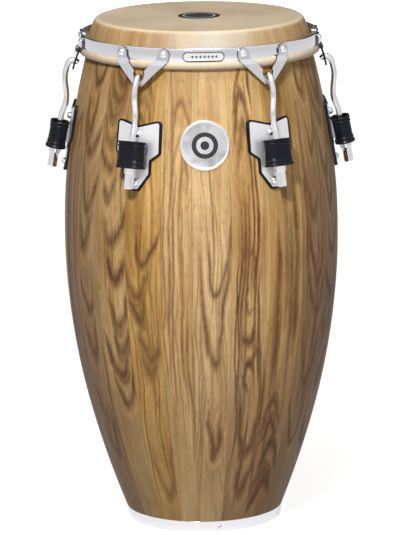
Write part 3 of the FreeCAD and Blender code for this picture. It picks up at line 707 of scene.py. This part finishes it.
def stain_at(across, z, streaks):
    """At points across and up the face (mm): distance to the nearest streak in half widths, that
    streak's strength, the soft halo round it, and the distance measured mostly across the grain
    (mm).  A streak thins towards its ends."""
    nearest = np.full(len(across), 6.0)
    power = np.full(len(across), 0.5)
    halo = np.zeros(len(across))
    far = np.full(len(across), 40.0)
    for points, half_width, strength in streaks:
        pairs = list(zip(points[:-1], points[1:]))
        lengths = [hypot(x1 - x0, z1 - z0) for (x0, z0), (x1, z1) in pairs]
        total = sum(lengths) + 1e-9
        run = 0.0
        best = np.full(len(across), 1e9)
        flat = np.full(len(across), 1e9)
        local = np.full(len(across), strength)
        for ((x0, z0), (x1, z1)), length in zip(pairs, lengths):
            dx, dz = x1 - x0, z1 - z0
            t = ((across - x0) * dx + (z - z0) * dz) / (dx * dx + dz * dz + 1e-9)
            t = np.clip(t, 0, 1)
            along = (run + t * length) / total
            taper = smooth(0, 0.22, np.minimum(along, 1 - along))
            off_x = across - x0 - t * dx
            off_z = z - z0 - t * dz
            distance = np.sqrt(off_x * off_x + 0.13 * off_z * off_z)
            distance = distance / (half_width * (0.50 + 0.50 * taper))
            closer = distance < best
            best = np.where(closer, distance, best)
            local = np.where(closer, strength * (0.55 + 0.45 * taper), local)
            flat = np.minimum(flat, np.sqrt(off_x * off_x + 0.03 * (off_z - 5.0) ** 2))
            run += length
        halo = np.maximum(halo, strength * np.exp(-flat / (3.1 * half_width)))
        far = np.minimum(far, flat)
        stronger = best - 0.8 * local < nearest - 0.8 * power
        nearest = np.where(stronger, best, nearest)
        power = np.where(stronger, local, power)
    return np.minimum(nearest, 6.0), power, halo, far


# ---------------------------------------------------------------- staves
# Azimuths of the joints: seven placed ones, then an even share of the rest.
JOINTS = [-35.0, -19.0, -5.8, 10.4, 27.7, 44.6, 61.6]
JOINTS += [61.6 + (JOINTS[0] + 360.0 - 61.6) * k / 17.0 for k in range(1, 17)]
JOINTS.append(JOINTS[0] + 360.0)
JOINT_GAP = 0.01                # degrees left open on each side of a joint
STAVE_THICK = 12.0
FOOT_TOP = 16.05                # where the wood meets the foot ring

# Front staves: growth line spacing (mm), brightness, warmth (0..1).
FRONT_TIMBER = {
    21: (4.2, 0.92, 0.4), 22: (4.4, 0.97, 0.5), 0: (3.3, 1.00, 0.9), 1: (3.7, 1.04, 0.4),
    2: (4.6, 1.10, 0.1), 3: (3.9, 0.97, 0.5), 4: (4.6, 0.97, 0.7), 5: (4.4, 0.90, 0.6)}
# Range of growth line spacing (mm) for each kind of timber in the other staves.
BACK_SPACING = ((3.4, 4.8), (3.6, 4.8), (3.0, 4.4), (3.4, 5.0))
# Brown by stave, over most of its height and added towards the foot: the wood's own tone, and on
# the side staves 5, 6, 7, 20 and 21 painted shade.
UMBER_AND_SIDE_SHADE = {4: 0.14, 5: 0.80, 6: 0.90, 7: 0.7, 20: 0.95, 21: 0.60, 22: 0.10,
         10: 0.4, 13: 0.6, 17: 0.5}
UMBER_LOW = {3: 0.60, 4: 0.65, 2: 0.10, 22: 0.15, 21: 0.2, 11: 0.5, 15: 0.4}
# Strength of the streaks by stave (1 where not listed).
VIGOUR = {0: 0.94, 1: 0.76, 2: 0.90, 3: 1.12, 22: 0.96}


def stave_section():
    """Closed section of a stave: (radius, height, depth below the outer face)."""
    outer_heights = [FOOT_TOP, *np.arange(18.0, 702.1, 3.0), SHELL_Z[-1]]
    section = [(shell_radius(z), z, 0.0) for z in outer_heights]
    for angle in (32.0, 44.0, 56.0, 68.0, 79.0, 90.0):
        section.append((EDGE_R + EDGE_ROUND * cos(radians(angle)),
                        EDGE_Z + EDGE_ROUND * sin(radians(angle)), 0.0))
    for z in [*np.arange(700.0, 20.0, -20.0), 18.0]:
        section.append((*off_shell(z, -STAVE_THICK), STAVE_THICK))
    section += [(section[-1][0] - 3.6, 0.6, STAVE_THICK),
                (105.35, 0.0, 4.0),
                (107.65, FOOT_TOP, 2.0)]
    return np.array(section, float)


def back_timber(draw):
    """Spacing, brightness and warmth of a stave that is not at the front."""
    kind = draw.integers(0, 4)
    # passed-over draws: they keep the sequence, and so every later stave, in place
    if kind == 2:
        draw.choice([-1, 1])
    draw.uniform(size=3)
    return (draw.uniform(*BACK_SPACING[kind]), draw.uniform(0.92, 1.04),
            draw.uniform(0.2, 0.9))


def build_staves():
    draw = np.random.default_rng(20)
    section = stave_section()
    rows = len(section)
    for i in range(len(JOINTS) - 1):
        front = i in FRONT_TIMBER
        start, end = JOINTS[i] + JOINT_GAP, JOINTS[i + 1] - JOINT_GAP
        middle = 0.5 * (start + end)
        columns = 41 if front else 29
        azimuth = np.tile(np.linspace(start, end, columns), rows)
        radius, z, depth = np.repeat(section, columns, axis=0).T
        across = np.radians(azimuth - middle) * radius
        faces = grid_faces(rows, columns, True, False)
        faces.append(tuple(j * columns for j in range(rows)))
        faces.append(tuple(j * columns + columns - 1 for j in reversed(range(rows))))
        ob = make("stave_%02d" % (i + 1), ring_points(radius, z, azimuth), faces, 30.0,
                  "stave_wood", ["shell_staves"])

        spacing, brightness, warmth = FRONT_TIMBER[i] if front else back_timber(draw)
        count = len(z)
        squeeze = (end - start) / (JOINTS[i + 1] - JOINTS[i])
        outer = depth == 0.0
        # values off the outer face: no streak near
        widths_off, power = np.full(count, 6.0), np.full(count, 0.5)
        halo, far = np.zeros(count), np.full(count, 20.0)
        widths_off[outer], power[outer], halo[outer], far[outer] = stain_at(
            across[outer], z[outer], streaks_of(i, squeeze))
        vigour = VIGOUR.get(i, 1.0)
        low = smooth(330.0, 110.0, z)
        high = np.clip((z - 500.0) / 120.0, 0, 1)
        # brown by stave, faded towards the top; on the side staves it is painted shade
        umber = UMBER_AND_SIDE_SHADE.get(i, 0.0) * (1 - 0.75 * high) + UMBER_LOW.get(i, 0.0) * low
        set_attributes(
            ob,
            grain=np.stack([across, depth, z], -1) * MM,
            tone=np.tile([0.37 * i + 1.3, brightness, spacing * MM], (count, 1)),
            edge=np.radians(np.minimum(azimuth - start, end - azimuth)) * radius * MM,
            stain=np.stack([widths_off, power * vigour, far * MM], -1),
            halo=halo * vigour,
            umber=np.clip(umber, 0, 1),
            warm=np.full(count, warmth))


def build_ring(name, corners, steps, count, body, replaces):
    """A chrome ring turned from (radius, height, fillet radius) corners."""
    profile = round_polygon(corners, steps)
    make(name, revolve(profile, count), grid_faces(len(profile), count, True, True), 40.0,
         "chrome", [replaces], body)


FOOT_RING = [(105.4, 0.05, 0.3), (107.6, 0.05, 0.8), (109.9, 16.0, 0.8), (107.7, 16.0, 0.3)]
CROWN_RING = [(161.6, 672.6, 0.7), (BAND_R, 672.6, 1.2), (BAND_R, 691.0, 1.5), (161.6, 691.0, 1.2)]

# ---------------------------------------------------------------- head
SKIN_THICK = 1.46
SKIN_END_THICK = 0.5            # at the very end of the sheet
SKIN_OFF_SHELL = 1.7            # outer face of the skin from the shell
SKIN_ROUND = 8.5                # radius of its outer face over the bearing edge
HEAD_Z = EDGE_Z + SKIN_ROUND
FLAT_POINTS = 26                # stations on the flat top
HOOP_R, HOOP_Z = 161.3, 667.7   # centre of the flesh hoop
ROLL_R = 4.8                    # outer radius of the skin rolled round the hoop
SKIN_COLUMNS = 288


def skin_path():
    """(radius, z) down the skin's outer face, from the flat top round the flesh hoop."""
    path = [(radius, HEAD_Z) for radius in np.linspace(0.0, 130.0, FLAT_POINTS + 1)[1:]]
    for angle in range(90, 20, -7):
        path.append((EDGE_R + SKIN_ROUND * cos(radians(angle)),
                     EDGE_Z + SKIN_ROUND * sin(radians(angle))))
    path += [off_shell(z, SKIN_OFF_SHELL) for z in np.arange(702.5, 674.0, -2.0)]
    path += [(157.35, 672.4), (156.9, 670.2)]
    # under the hoop, up its outside and over the top
    for angle in range(185, 185 + 331, 15):
        path.append((HOOP_R + ROLL_R * cos(radians(angle)),
                     HOOP_Z + ROLL_R * sin(radians(angle))))
    path.append((157.9, 670.6))
    return np.array(path, float)


def tucks(angles):
    """Uneven folds round the rim, 0..1."""
    draw = np.random.default_rng(7)
    folds = np.zeros_like(angles)
    for _ in range(14):
        folds += np.sin(angles * draw.integers(9, 61) + draw.uniform(0, 6.28)) \
            * draw.uniform(0.3, 1.0)
    return (folds - folds.min()) / (folds.max() - folds.min())


def tuck_depth(travel, inside):
    """How far the tucks push the skin outwards (mm), by distance down the path."""
    if travel > 191:
        return -0.35 * 0.3
    depth = 0.55 * float(smooth(150.0, 176.0, travel)) * (1.0 if travel < 190 else 0.5)
    if inside:
        depth *= 0.3
    return depth if travel < 186 else -depth * 0.3


def build_skin():
    """One sheet with an outer and an inner face, joined at its end."""
    outer = skin_path()
    tangent = np.gradient(outer, axis=0)
    tangent /= np.linalg.norm(tangent, axis=1)[:, None]
    inward = np.stack([tangent[:, 1], -tangent[:, 0]], -1)
    inward[:FLAT_POINTS] = (0, -1)
    thickness = np.full(len(outer), SKIN_THICK)
    thickness[-1] = SKIN_END_THICK
    inner = outer + inward * thickness[:, None]
    steps = np.linalg.norm(np.diff(outer, axis=0), axis=1)
    travels = np.concatenate([[0], np.cumsum(steps)]) + outer[0, 0]

    azimuths = round_the_clock(SKIN_COLUMNS)
    angles = np.radians((azimuths + 180.0) % 360.0 - 180.0)
    folds = tucks(angles)
    points = []
    for inside, stations in enumerate((outer, inner)):
        points.append([[0.0, 0.0, stations[0, 1]]])
        for (radius, z), travel in zip(stations, travels):
            points.append(ring_points(radius + tuck_depth(travel, inside) * folds, z, azimuths))
    hide, flat = [np.zeros((1, 3))], [np.zeros((1, 3))]
    for travel in travels:
        rim = float(smooth(139.0, 145.5, travel))
        hide.append(np.stack([angles, np.full(SKIN_COLUMNS, travel * MM),
                              np.full(SKIN_COLUMNS, rim)], -1))
        flat.append(ring_points(travel * MM, 0.0, azimuths))

    rows = len(outer)
    half = 1 + rows * SKIN_COLUMNS
    following = [(j + 1) % SKIN_COLUMNS for j in range(SKIN_COLUMNS)]
    faces = []
    for base in (0, half):
        faces += [(base, base + 1 + j, base + 1 + k) for j, k in enumerate(following)]
        faces += grid_faces(rows, SKIN_COLUMNS, False, True, base + 1)
    outer_end = 1 + (rows - 1) * SKIN_COLUMNS
    inner_end = half + outer_end
    faces += [(outer_end + j, outer_end + k, inner_end + k, inner_end + j)
              for j, k in enumerate(following)]
    ob = make("head_hide", np.concatenate(points), faces, 60.0, "rawhide",
              ["head_skin", "head_skin_collar"], body=None)
    set_attributes(ob, hide=np.tile(np.concatenate(hide), (2, 1)),
                   flat=np.tile(np.concatenate(flat), (2, 1)))
    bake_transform(ob)


# Disc on the head: radius, height, part (1 is the pale ring).
HEAD_PATCH = [
    (0.001, 711.5, 0), (20.6, 711.5, 0), (21.0, 711.56, 1), (22.2, 711.56, 1), (22.6, 711.5, 0),
    (28.6, 711.5, 0), (29.2, 711.35, 0), (29.4, 711.05, 0), (29.0, 711.03, 0), (0.001, 711.03, 0)]


def build_head_patch():
    count = 96
    points = revolve([station[:2] for station in HEAD_PATCH], count)
    ob = make("head_patch_disc", points, capped_faces(len(HEAD_PATCH), count), 40.0,
              "black_patch", ["head_patch"])
    set_attributes(ob, part=np.repeat([part for _, _, part in HEAD_PATCH], count))


# ---------------------------------------------------------------- badge
BADGE_Z = 561.0
# Round plate curved to the shell: radius, height off the shell, part (0 plate, 1 rim, 2 inlay).
BADGE = [
    (0.01, 1.30, 2), (3.0, 1.30, 2), (5.9, 1.30, 2), (6.05, 1.45, 0), (11.6, 1.45, 0),
    (11.8, 1.28, 2), (14.8, 1.28, 2), (17.8, 1.28, 2), (18.0, 1.45, 0), (24.0, 1.45, 0),
    (29.8, 1.45, 0), (30.5, 1.55, 1), (30.9, 2.35, 1), (31.6, 2.65, 1), (32.9, 2.65, 1),
    (33.7, 2.3, 1), (34.0, 1.7, 1), (34.0, 0.15, 1), (33.5, 0.05, 1), (24.0, 0.05, 0),
    (12.0, 0.05, 0), (0.01, 0.05, 0)]


def build_badge():
    count = 120
    angles = np.arange(count) * 2 * pi / count
    lean = atan2(float(shell_radius(BADGE_Z - 5) - shell_radius(BADGE_Z + 5)), 10.0)
    points = []
    for size, height, _ in BADGE:
        radius, z = off_shell(BADGE_Z + size * np.sin(angles) * cos(lean), height)
        across = np.arcsin(np.clip(size * np.cos(angles) / radius, -1, 1))
        points.append(ring_points(radius, z, np.degrees(across)))
    ob = make("badge_plate", np.concatenate(points), capped_faces(len(BADGE), count), 35.0,
              "badge_metal", ["badge"])
    set_attributes(ob, part=np.repeat([part for _, _, part in BADGE], count))


# ---------------------------------------------------------------- tuning rods
ROD_R = 4.0
ROD_END_R = 3.1                 # chamfered lower end
ROD_SIDES = 28
LUG_AXIS = (-sin(radians(LUG_TILT)), cos(radians(LUG_TILT)))


def on_lug_axis(along):
    """(radius, z) of a point on the lug axis, measured up from its middle."""
    return LUG_R + LUG_AXIS[0] * along, LUG_Z + LUG_AXIS[1] * along


ROD_STRAIGHT = [on_lug_axis(along) for along in (-39.5, -38.6, -30.0, 0.0, 15.0)]
# (radius, z) through the bend and the hook over the band.
ROD_BEND = [
    on_lug_axis(26.5), (189.3, 584.0), (186.5, 592.0), (185.3, 600.0), (185.4, 608.0),
    (186.2, 616.0), (186.9, 624.0), (186.4, 632.0), (184.6, 640.0), (181.9, 647.0),
    (177.9, 651.4), (173.2, 651.5), (167.8, 648.2)]
# The rounded tip: distance back from the end, radius.
ROD_TIP = [(0.8, ROD_R), (0.25, 3.75), (0.0, 3.2)]


def smooth_curve(points, start_tangent, end_tangent, steps=6):
    """Hermite curve through the points, with set directions at its ends."""
    points = np.array(points, float)
    lengths = np.linalg.norm(np.diff(points, axis=0), axis=1)
    tangents = np.zeros_like(points)
    for k in range(1, len(points) - 1):
        before, after = lengths[k - 1], lengths[k]
        tangents[k] = ((points[k] - points[k - 1]) / before * after
                       + (points[k + 1] - points[k]) / after * before) / (after + before)
    tangents[0], tangents[-1] = start_tangent, end_tangent
    curve = []
    for k, length in enumerate(lengths):
        for j in range(steps):
            t = j / steps
            curve.append((2 * t ** 3 - 3 * t * t + 1) * points[k]
                         + (t ** 3 - 2 * t * t + t) * tangents[k] * length
                         + (-2 * t ** 3 + 3 * t * t) * points[k + 1]
                         + (t ** 3 - t * t) * tangents[k + 1] * length)
    curve.append(points[-1])
    return np.array(curve)


def rod_mesh():
    centres = np.concatenate([ROD_STRAIGHT, smooth_curve(ROD_BEND, LUG_AXIS, (-0.86, -0.51))])
    tangents = np.gradient(centres, axis=0)
    tangents /= np.linalg.norm(tangents, axis=1)[:, None]
    radii = [ROD_END_R] + [ROD_R] * (len(centres) - 2)
    stations = list(zip(centres[:-1], radii, tangents))
    stations += [(centres[-1] - tangents[-1] * back, radius, tangents[-1])
                 for back, radius in ROD_TIP]
    angles = np.arange(ROD_SIDES) * 2 * pi / ROD_SIDES
    rings = []
    for centre, radius, tangent in stations:
        side = radius * np.sin(angles)
        rings.append(np.stack([radius * np.cos(angles), -(centre[0] + side * tangent[1]),
                               centre[1] - side * tangent[0]], -1))
    return np.concatenate(rings), capped_faces(len(stations), ROD_SIDES)


# ---------------------------------------------------------------- tuning nuts
NUT_HALF_FLATS = 6.5
NUT_COLUMNS = 96
# Height along the lug axis, radius, True where that radius only cuts the hexagon's corners.
NUT_LEVELS = [
    (-17.66, 7.8, False), (-17.95, 8.2, False), (-24.2, 8.2, False), (-25.1, 7.7, False),
    (-25.3, 7.35, True), (-43.2, 7.35, True), (-44.0, 7.0, True), (-44.8, 6.55, True),
    (-45.45, 6.1, False), (-45.5, 5.1, False), (-44.6, 4.06, False), (-30.0, 4.06, False),
    (-18.2, 4.06, False), (-17.66, 4.5, False)]


def on_lug(points):
    return tilted(points, LUG_R, LUG_Z, LUG_TILT)


def nut_mesh():
    angles = np.arange(NUT_COLUMNS) * 2 * pi / NUT_COLUMNS
    hexagon = NUT_HALF_FLATS / np.cos(angles % (pi / 3) - pi / 6)
    rings = []
    for along, radius, is_hexagon in NUT_LEVELS:
        if is_hexagon:
            radius = np.minimum(hexagon, radius)
        rings.append(np.stack([radius * np.cos(angles), radius * np.sin(angles),
                               np.full(NUT_COLUMNS, along)], -1))
    faces = grid_faces(len(NUT_LEVELS), NUT_COLUMNS, True, True)
    return on_lug(np.concatenate(rings)), faces


# ---------------------------------------------------------------- rubber sleeves
SLIT = 7.2                      # half width of the slit on the side towards the drum
BORE_X, BORE_Y = 16.35, 9.6     # half sizes of the hole
# Height along the lug axis, half width across, half depth.
SLEEVE_LEVELS = [
    (-17.5, 20.2, 13.5), (-17.35, 20.6, 13.9), (-16.9, 20.9, 14.2), (-15.9, 20.9, 14.2),
    (-15.3, 20.6, 13.9), (-14.2, 20.0, 13.3), (-12.9, 19.6, 12.8), (-11.9, 19.3, 12.5),
    (-11.5, 19.45, 12.65), (-11.2, 19.8, 13.0), (-10.8, 19.95, 13.15), (-10.2, 19.9, 13.1),
    (-9.8, 19.6, 12.8), (-9.4, 19.25, 12.45), (-6.0, 19.15, 12.35), (1.0, 19.1, 12.3),
    (7.0, 19.15, 12.35), (11.4, 19.2, 12.4), (11.8, 19.65, 12.85), (12.2, 20.0, 13.2),
    (13.6, 20.0, 13.2), (14.0, 19.7, 12.9), (14.4, 19.25, 12.45), (16.0, 19.2, 12.4),
    (16.5, 19.7, 12.9), (16.9, 20.1, 13.3), (18.4, 20.1, 13.3), (18.9, 19.75, 12.95),
    (19.1, 19.3, 12.5)]


def slit_outline(half_x, half_y, fillet):
    """One wall of the C section, from the slit's -x side round to its +x side."""
    return [(-SLIT, half_y, 0), (-half_x, half_y, fillet), (-half_x, -half_y, fillet),
            (half_x, -half_y, fillet), (half_x, half_y, fillet), (SLIT, half_y, 0)]


def sleeve_mesh():
    bore = round_polygon(slit_outline(BORE_X, BORE_Y, 9.0)[::-1], 10)
    rings = []
    for along, half_x, half_y in SLEEVE_LEVELS:
        wall = round_polygon(slit_outline(half_x, half_y, half_y - 0.05), 10)
        section = np.array(wall + bore)
        rings.append(np.column_stack([section, np.full(len(section), along)]))
    return on_lug(np.concatenate(rings)), capped_faces(len(rings), len(rings[0]))


# ---------------------------------------------------------------- gasket lips
# The side plate's frame: radius, height, lean in degrees.
PLATE = (189.2, 500.0, degrees(atan2(189.2 - 175.1, 92.0)))
PLATE_FOLD = tan(radians(6.0))  # each half folds back from the middle by this slope
# Right half of the plate's outline: distance across, height, fillet radius.
PLATE_HALF = [(4.0, 500.6, 1.5), (18.4, 521.4, 3.0), (18.6, 540.2, 3.0), (31.6, 550.0, 3.0),
              (30.4, 591.2, 3.0)]
PLATE_NOTCH_Z = 582.8           # middle of the top edge
FILLET_STEPS = 5
# Outline points that start a straight edge: the last of each fillet, and the notch.
EDGE_STARTS = {6 * k + 5 for k in range(10)} | {60}
# Section of the lip: growth beyond the plate, height in y (None lies on the shell).
LIP = [(0.06, 0.0), (0.06, -2.15), (0.35, -2.42), (1.3, -2.5), (2.2, -2.35), (2.7, -1.9),
       (2.8, -1.0), (2.8, None), (0.3, None)]
LIP_OFF_SHELL = 0.05


def edge_normal(start, end):
    dx, dy = end[0] - start[0], end[1] - start[1]
    return np.array((dy, -dx)) / hypot(dx, dy)


def plate_outline(grow):
    """The plate's outline grown outwards, with long edges divided to follow the shell."""
    def up_plate(z):
        return (z - PLATE[1]) / cos(radians(PLATE[2]))

    right = [(x, up_plate(z), fillet) for x, z, fillet in PLATE_HALF]
    left = [(-x, up, fillet) for x, up, fillet in reversed(right)]
    corners = left + right + [(0.0, up_plate(PLATE_NOTCH_Z), 0.0)]
    grown = []
    for index, corner in enumerate(corners):
        normal = edge_normal(corners[index - 1], corner)
        next_normal = edge_normal(corner, corners[(index + 1) % len(corners)])
        shift = grow * (normal + next_normal) / (1.0 + normal @ next_normal)
        fillet = corner[2] + grow if corner[2] else 0
        grown.append((corner[0] + shift[0], corner[1] + shift[1], fillet))
    points = np.array(round_polygon(grown, FILLET_STEPS))
    divided = []
    for index, point in enumerate(points):
        following = points[(index + 1) % len(points)]
        parts = 5 if index in EDGE_STARTS else 1
        divided += [point + (following - point) * k / parts for k in range(parts)]
    return np.array(divided)


def y_on_shell(x, up):
    """y in the plate's frame where the shell's face lies behind (x, up), found step by step."""
    y = np.zeros(len(x))
    for _ in range(12):
        points = tilted(np.stack([x, y, up], -1), *PLATE)
        radius = np.hypot(points[:, 0], points[:, 1])
        y = y + (radius - (shell_radius(points[:, 2]) + LIP_OFF_SHELL)) * 0.9
    return y


def lip_mesh():
    rings = []
    for grow, height in LIP:
        x, up = plate_outline(grow).T
        y = y_on_shell(x, up) if height is None else np.abs(x) * PLATE_FOLD + height
        rings.append(np.stack([x, y, up], -1))
    faces = grid_faces(len(LIP), len(rings[0]), True, True)
    return tilted(np.concatenate(rings), *PLATE), faces


def build_lugs():
    # name, mesh, sharp angle, slot, body, piece replaced; {} takes the lug's number
    parts = [
        ("hook_rod_{}", rod_mesh(), 40.0, "chrome", "rod_{}", "tuning_rod_{}"),
        ("hex_nut_{}", nut_mesh(), 24.0, "chrome", "nut_{}", "tuning_nut_{}"),
        ("gasket_lip_{}", lip_mesh(), 50.0, "black_rubber", "shell", "plate_gaskets"),
        ("rubber_sleeve_{}", sleeve_mesh(), 45.0, "black_rubber", "shell", "lug_sleeves")]
    for number, azimuth in enumerate(LUG_AZIMUTHS, 1):
        for name, (points, faces), sharp, slot, body, replaced in parts:
            make(name.format(number), turned(points, azimuth), faces, sharp, slot,
                 [replaced.format(number)], body.format(number))


# ---------------------------------------------------------------- label on the crown band
# Nested outlines: half width, half height, height off the band, part (1 is the dark rim).
LABEL_LEVELS = [
    (20.0, 0.05, 0.04, 1), (28.2, 6.6, 0.04, 1), (28.3, 6.70, 0.9, 1), (28.0, 6.4, 1.16, 1),
    (27.0, 5.4, 1.16, 1), (26.8, 5.2, 1.02, 0), (24.0, 2.6, 1.02, 0), (20.0, 0.05, 1.02, 0)]


def stadium(half_width, half_height, arc_steps=12, line_steps=24):
    """Two straight edges joined by half circles."""
    x = max(half_width - half_height, 0.01)
    points = []
    for side in (1, -1):
        for k in range(line_steps):
            points.append((side * (-x + 2 * x * k / line_steps), -side * half_height))
        for k in range(arc_steps):
            angle = -side * pi / 2 + pi * k / arc_steps
            points.append((side * x + half_height * cos(angle), half_height * sin(angle)))
    return np.array(points)


def build_label():
    points, parts = [], []
    for half_width, half_height, off_band, part in LABEL_LEVELS:
        outline = stadium(half_width, half_height)
        azimuths = np.degrees(np.arcsin(outline[:, 0] / BAND_R))
        points.append(ring_points(BAND_R + off_band, LABEL_Z + outline[:, 1], azimuths))
        parts += [part] * len(outline)
    faces = grid_faces(len(points), len(points[0]), True, True)
    ob = make("band_label", np.concatenate(points), faces, 35.0, "label_enamel",
              ["rim_label"], "crown")
    set_attributes(ob, part=parts)


# ---------------------------------------------------------------- CAD steel
# Width of the softened edges (mm).
EDGE_WIDTHS = {
    "lug_brackets": 0.6, "bracket_rivets": 0.3, "plate_bolts_upper": 0.35,
    "plate_bolts_lower": 0.35, "backing_nuts": 0.4, "backing_washers": 0.2,
    "thrust_washers": 0.25, "bottom_ring_screws": 0.2}


def slot_of(name, subparts):
    """Material slot of a CAD node, by its own record or else one that mentions it."""
    for part in reversed(subparts):
        if part.get("name") == name and part.get("material_slot") is not None:
            return part["material_slot"]
        if part.get("name") == name:
            break
    for part in subparts:
        if name in json.dumps(part):
            return part.get("material_slot")
    return None


def finish_cad_pieces():
    """CAD pieces keep their shape and get a finish; small hardware gets softened edges."""
    nodes = frame["nodes"]
    for name, ob in nodes.items():
        slot = slot_of(name, frame["record"].get("subparts", []))
        ob.data.materials.clear()
        ob.data.materials.append(FINISHES.get(slot, FINISHES["chrome"]))
    # satin plates and straps both get painted shade on the sheet's edges
    satin = polished("satin_plate", tint=(0.84, 0.84, 0.87), rough=0.36, wear=0.06,
                     painted_edge_shade=0.82, metal=0.72)
    strap = polished("strap_steel", tint=(0.68, 0.68, 0.72), rough=0.16, wear=0.08, painted_edge_shade=0.85)
    nodes["side_plates"].data.materials[0] = satin
    nodes["v_brackets"].data.materials[0] = strap
    for name, width in EDGE_WIDTHS.items():
        weld = nodes[name].modifiers.new("weld", "WELD")
        weld.merge_threshold = 0.00001
        bevel = nodes[name].modifiers.new("edge", "BEVEL")
        bevel.width = width * MM
        bevel.segments = 2
        bevel.limit_method = "ANGLE"
        bevel.angle_limit = radians(40)
        bevel.harden_normals = True


# ---------------------------------------------------------------- studio
def floor_material():
    """White floor that looks brighter to the camera and in reflections than it lights."""
    mat = new_material("studio_floor")
    cloud = mat.noise(mat.coordinates(), scale=3.0)
    camera, glossy = mat.node("LightPath", out=("Is Camera Ray", "Is Glossy Ray"))
    albedo = 0.22 + camera * 0.20 + glossy * 0.24
    colour = mat.mix(cloud, (0.985, 0.985, 0.99), (1.0, 1.0, 1.0)).scaled(albedo)
    return mat.principled(
        Base_Color=colour, Roughness=0.9, Specular_IOR_Level=0.0,
        Emission_Color=(1.0, 1.0, 1.0),
        Emission_Strength=(camera * 0.84).at_least(glossy * 0.62))


def build_floor():
    half = 30
    mesh = bpy.data.meshes.new("studio_floor")
    corners = [(-half, -half, 0), (half, -half, 0), (half, half, 0), (-half, half, 0)]
    mesh.from_pydata(corners, [], [(0, 1, 2, 3)])
    floor = bpy.data.objects.new("studio_floor", mesh)
    bpy.context.scene.collection.objects.link(floor)
    mesh.materials.append(floor_material())


def build_world():
    """Three surroundings: for reflections, for matt surfaces and for the camera."""
    owner = bpy.data.worlds.new("studio")
    bpy.context.scene.world = owner
    world = Shader(owner)
    x, y, z = world.separate(world.coordinates("Generated"))
    # angle away from the front, in radians either way
    angle = abs(world.math("ARCTAN2", x, y * -1.0))
    above = z.rise(start=0.35, end=0.9)

    # reflections: a wide white front, a darker strip at each side, a little light from behind
    front = 1.0 - angle.rise(start=1.75, end=2.25)
    behind = angle.rise(start=2.75, end=3.1)
    reflected = 0.05 + front * 0.84 + above * 0.25 + behind * 0.10
    strip = 1.0 - abs(angle - 1.52).rise(start=0.03, end=0.08)
    reflected = reflected * strip.remap(at=(0.0, 1.0), to=(1.0, 0.45))

    # matt surfaces: soft light from the front, from behind and above
    front = 1.0 - angle.rise(start=0.25, end=1.15)
    behind = angle.rise(start=2.3, end=3.0)
    diffuse = 0.03 + front * 0.23 + behind * 0.30 + above * 0.10

    camera, glossy = world.node("LightPath", out=("Is Camera Ray", "Is Glossy Ray"))
    glossy = glossy * 1.0
    level = reflected * glossy + diffuse * (1.0 - glossy)
    lighting = world.node("Background", {"Color": (1.0, 0.99, 0.98), "Strength": level})
    backdrop = world.node("Background", {"Color": (1.0, 1.0, 1.0), "Strength": 0.93})
    world.output("World", world.node("MixShader", {0: camera, 1: lighting, 2: backdrop}))


def area(name, place, target, size, power, colour=(1, 1, 1)):
    """A rectangular light (metres, watts) aimed at a target."""
    light = bpy.data.lights.new(name, "AREA")
    light.shape = "RECTANGLE"
    light.size, light.size_y = size
    light.energy = power
    light.color = colour
    ob = bpy.data.objects.new(name, light)
    bpy.context.scene.collection.objects.link(ob)
    ob.location = place
    aim = Vector(target) - Vector(place)
    ob.rotation_euler = aim.to_track_quat("-Z", "Y").to_euler()
    return ob


def build_lights():
    area("key", place=(-0.62, -2.4, 2.25), target=(0, 0, 0.5), size=(0.34, 0.34), power=66.0,
         colour=(1.0, 0.985, 0.96))
    fill = area("fill", place=(0.85, -2.5, 1.0), target=(0, 0, 0.40), size=(0.7, 1.0), power=13.0)
    back = area("back", place=(0.2, 6.0, 0.31), target=(0, 0, 0.31), size=(3.2, 0.58), power=230.0)
    back.visible_camera = False
    back.visible_glossy = False
    fill.visible_glossy = False
    area("over", place=(0.1, -0.9, 2.7), target=(0, 0, 0.7), size=(0.8, 0.7), power=19.0)


# ---------------------------------------------------------------- camera
CAMERA_PLACE = (0.0, -5.4259, 1.5333)
CAMERA_TARGET = (0.0, 0.0, 0.3544)
CAMERA_ROLL = -0.0112           # radians
CAMERA_SWING = 0.00045955       # sideways turn of the view, as a tangent
CAMERA_ORBIT = -1.9             # degrees round the drum
CAMERA_LENS = 266.494206        # mm, on a 36 mm sensor


def unit(vector):
    return vector / np.linalg.norm(vector)


def build_camera():
    place = np.array(CAMERA_PLACE)
    forward = unit(np.array(CAMERA_TARGET) - place)
    right = unit(np.cross(forward, (0, 0, 1.0)))
    up = np.cross(right, forward)
    right = cos(CAMERA_ROLL) * right + sin(CAMERA_ROLL) * up
    forward, right = (unit(forward - CAMERA_SWING * right),
                      unit(right + CAMERA_SWING * forward))
    up = np.cross(right, forward)
    columns = [turned(column, CAMERA_ORBIT) for column in (right, up, -forward, place)]
    camera = bpy.data.cameras.new("cam")
    camera.sensor_fit = "AUTO"
    camera.sensor_width = 36.0
    camera.lens = CAMERA_LENS
    camera.clip_start, camera.clip_end = 0.1, 100.0
    ob = bpy.data.objects.new("cam", camera)
    bpy.context.scene.collection.objects.link(ob)
    ob.matrix_world = Matrix([*np.column_stack(columns).tolist(), [0.0, 0.0, 0.0, 1.0]])
    bpy.context.scene.camera = ob


def set_view():
    view = bpy.context.scene.view_settings
    view.view_transform = "Standard"
    view.look = "None"
    view.exposure = 0.0
    view.gamma = 1.0


# ---------------------------------------------------------------- build
build_staves()
build_ring("foot_ring", FOOT_RING, 4, 256, "shell", "bottom_ring")
build_skin()
build_head_patch()
build_badge()
build_lugs()
build_ring("crown_ring", CROWN_RING, 5, 360, "crown", "crown_band")
build_label()
finish_cad_pieces()
build_floor()
build_world()
build_lights()
build_camera()
set_view()
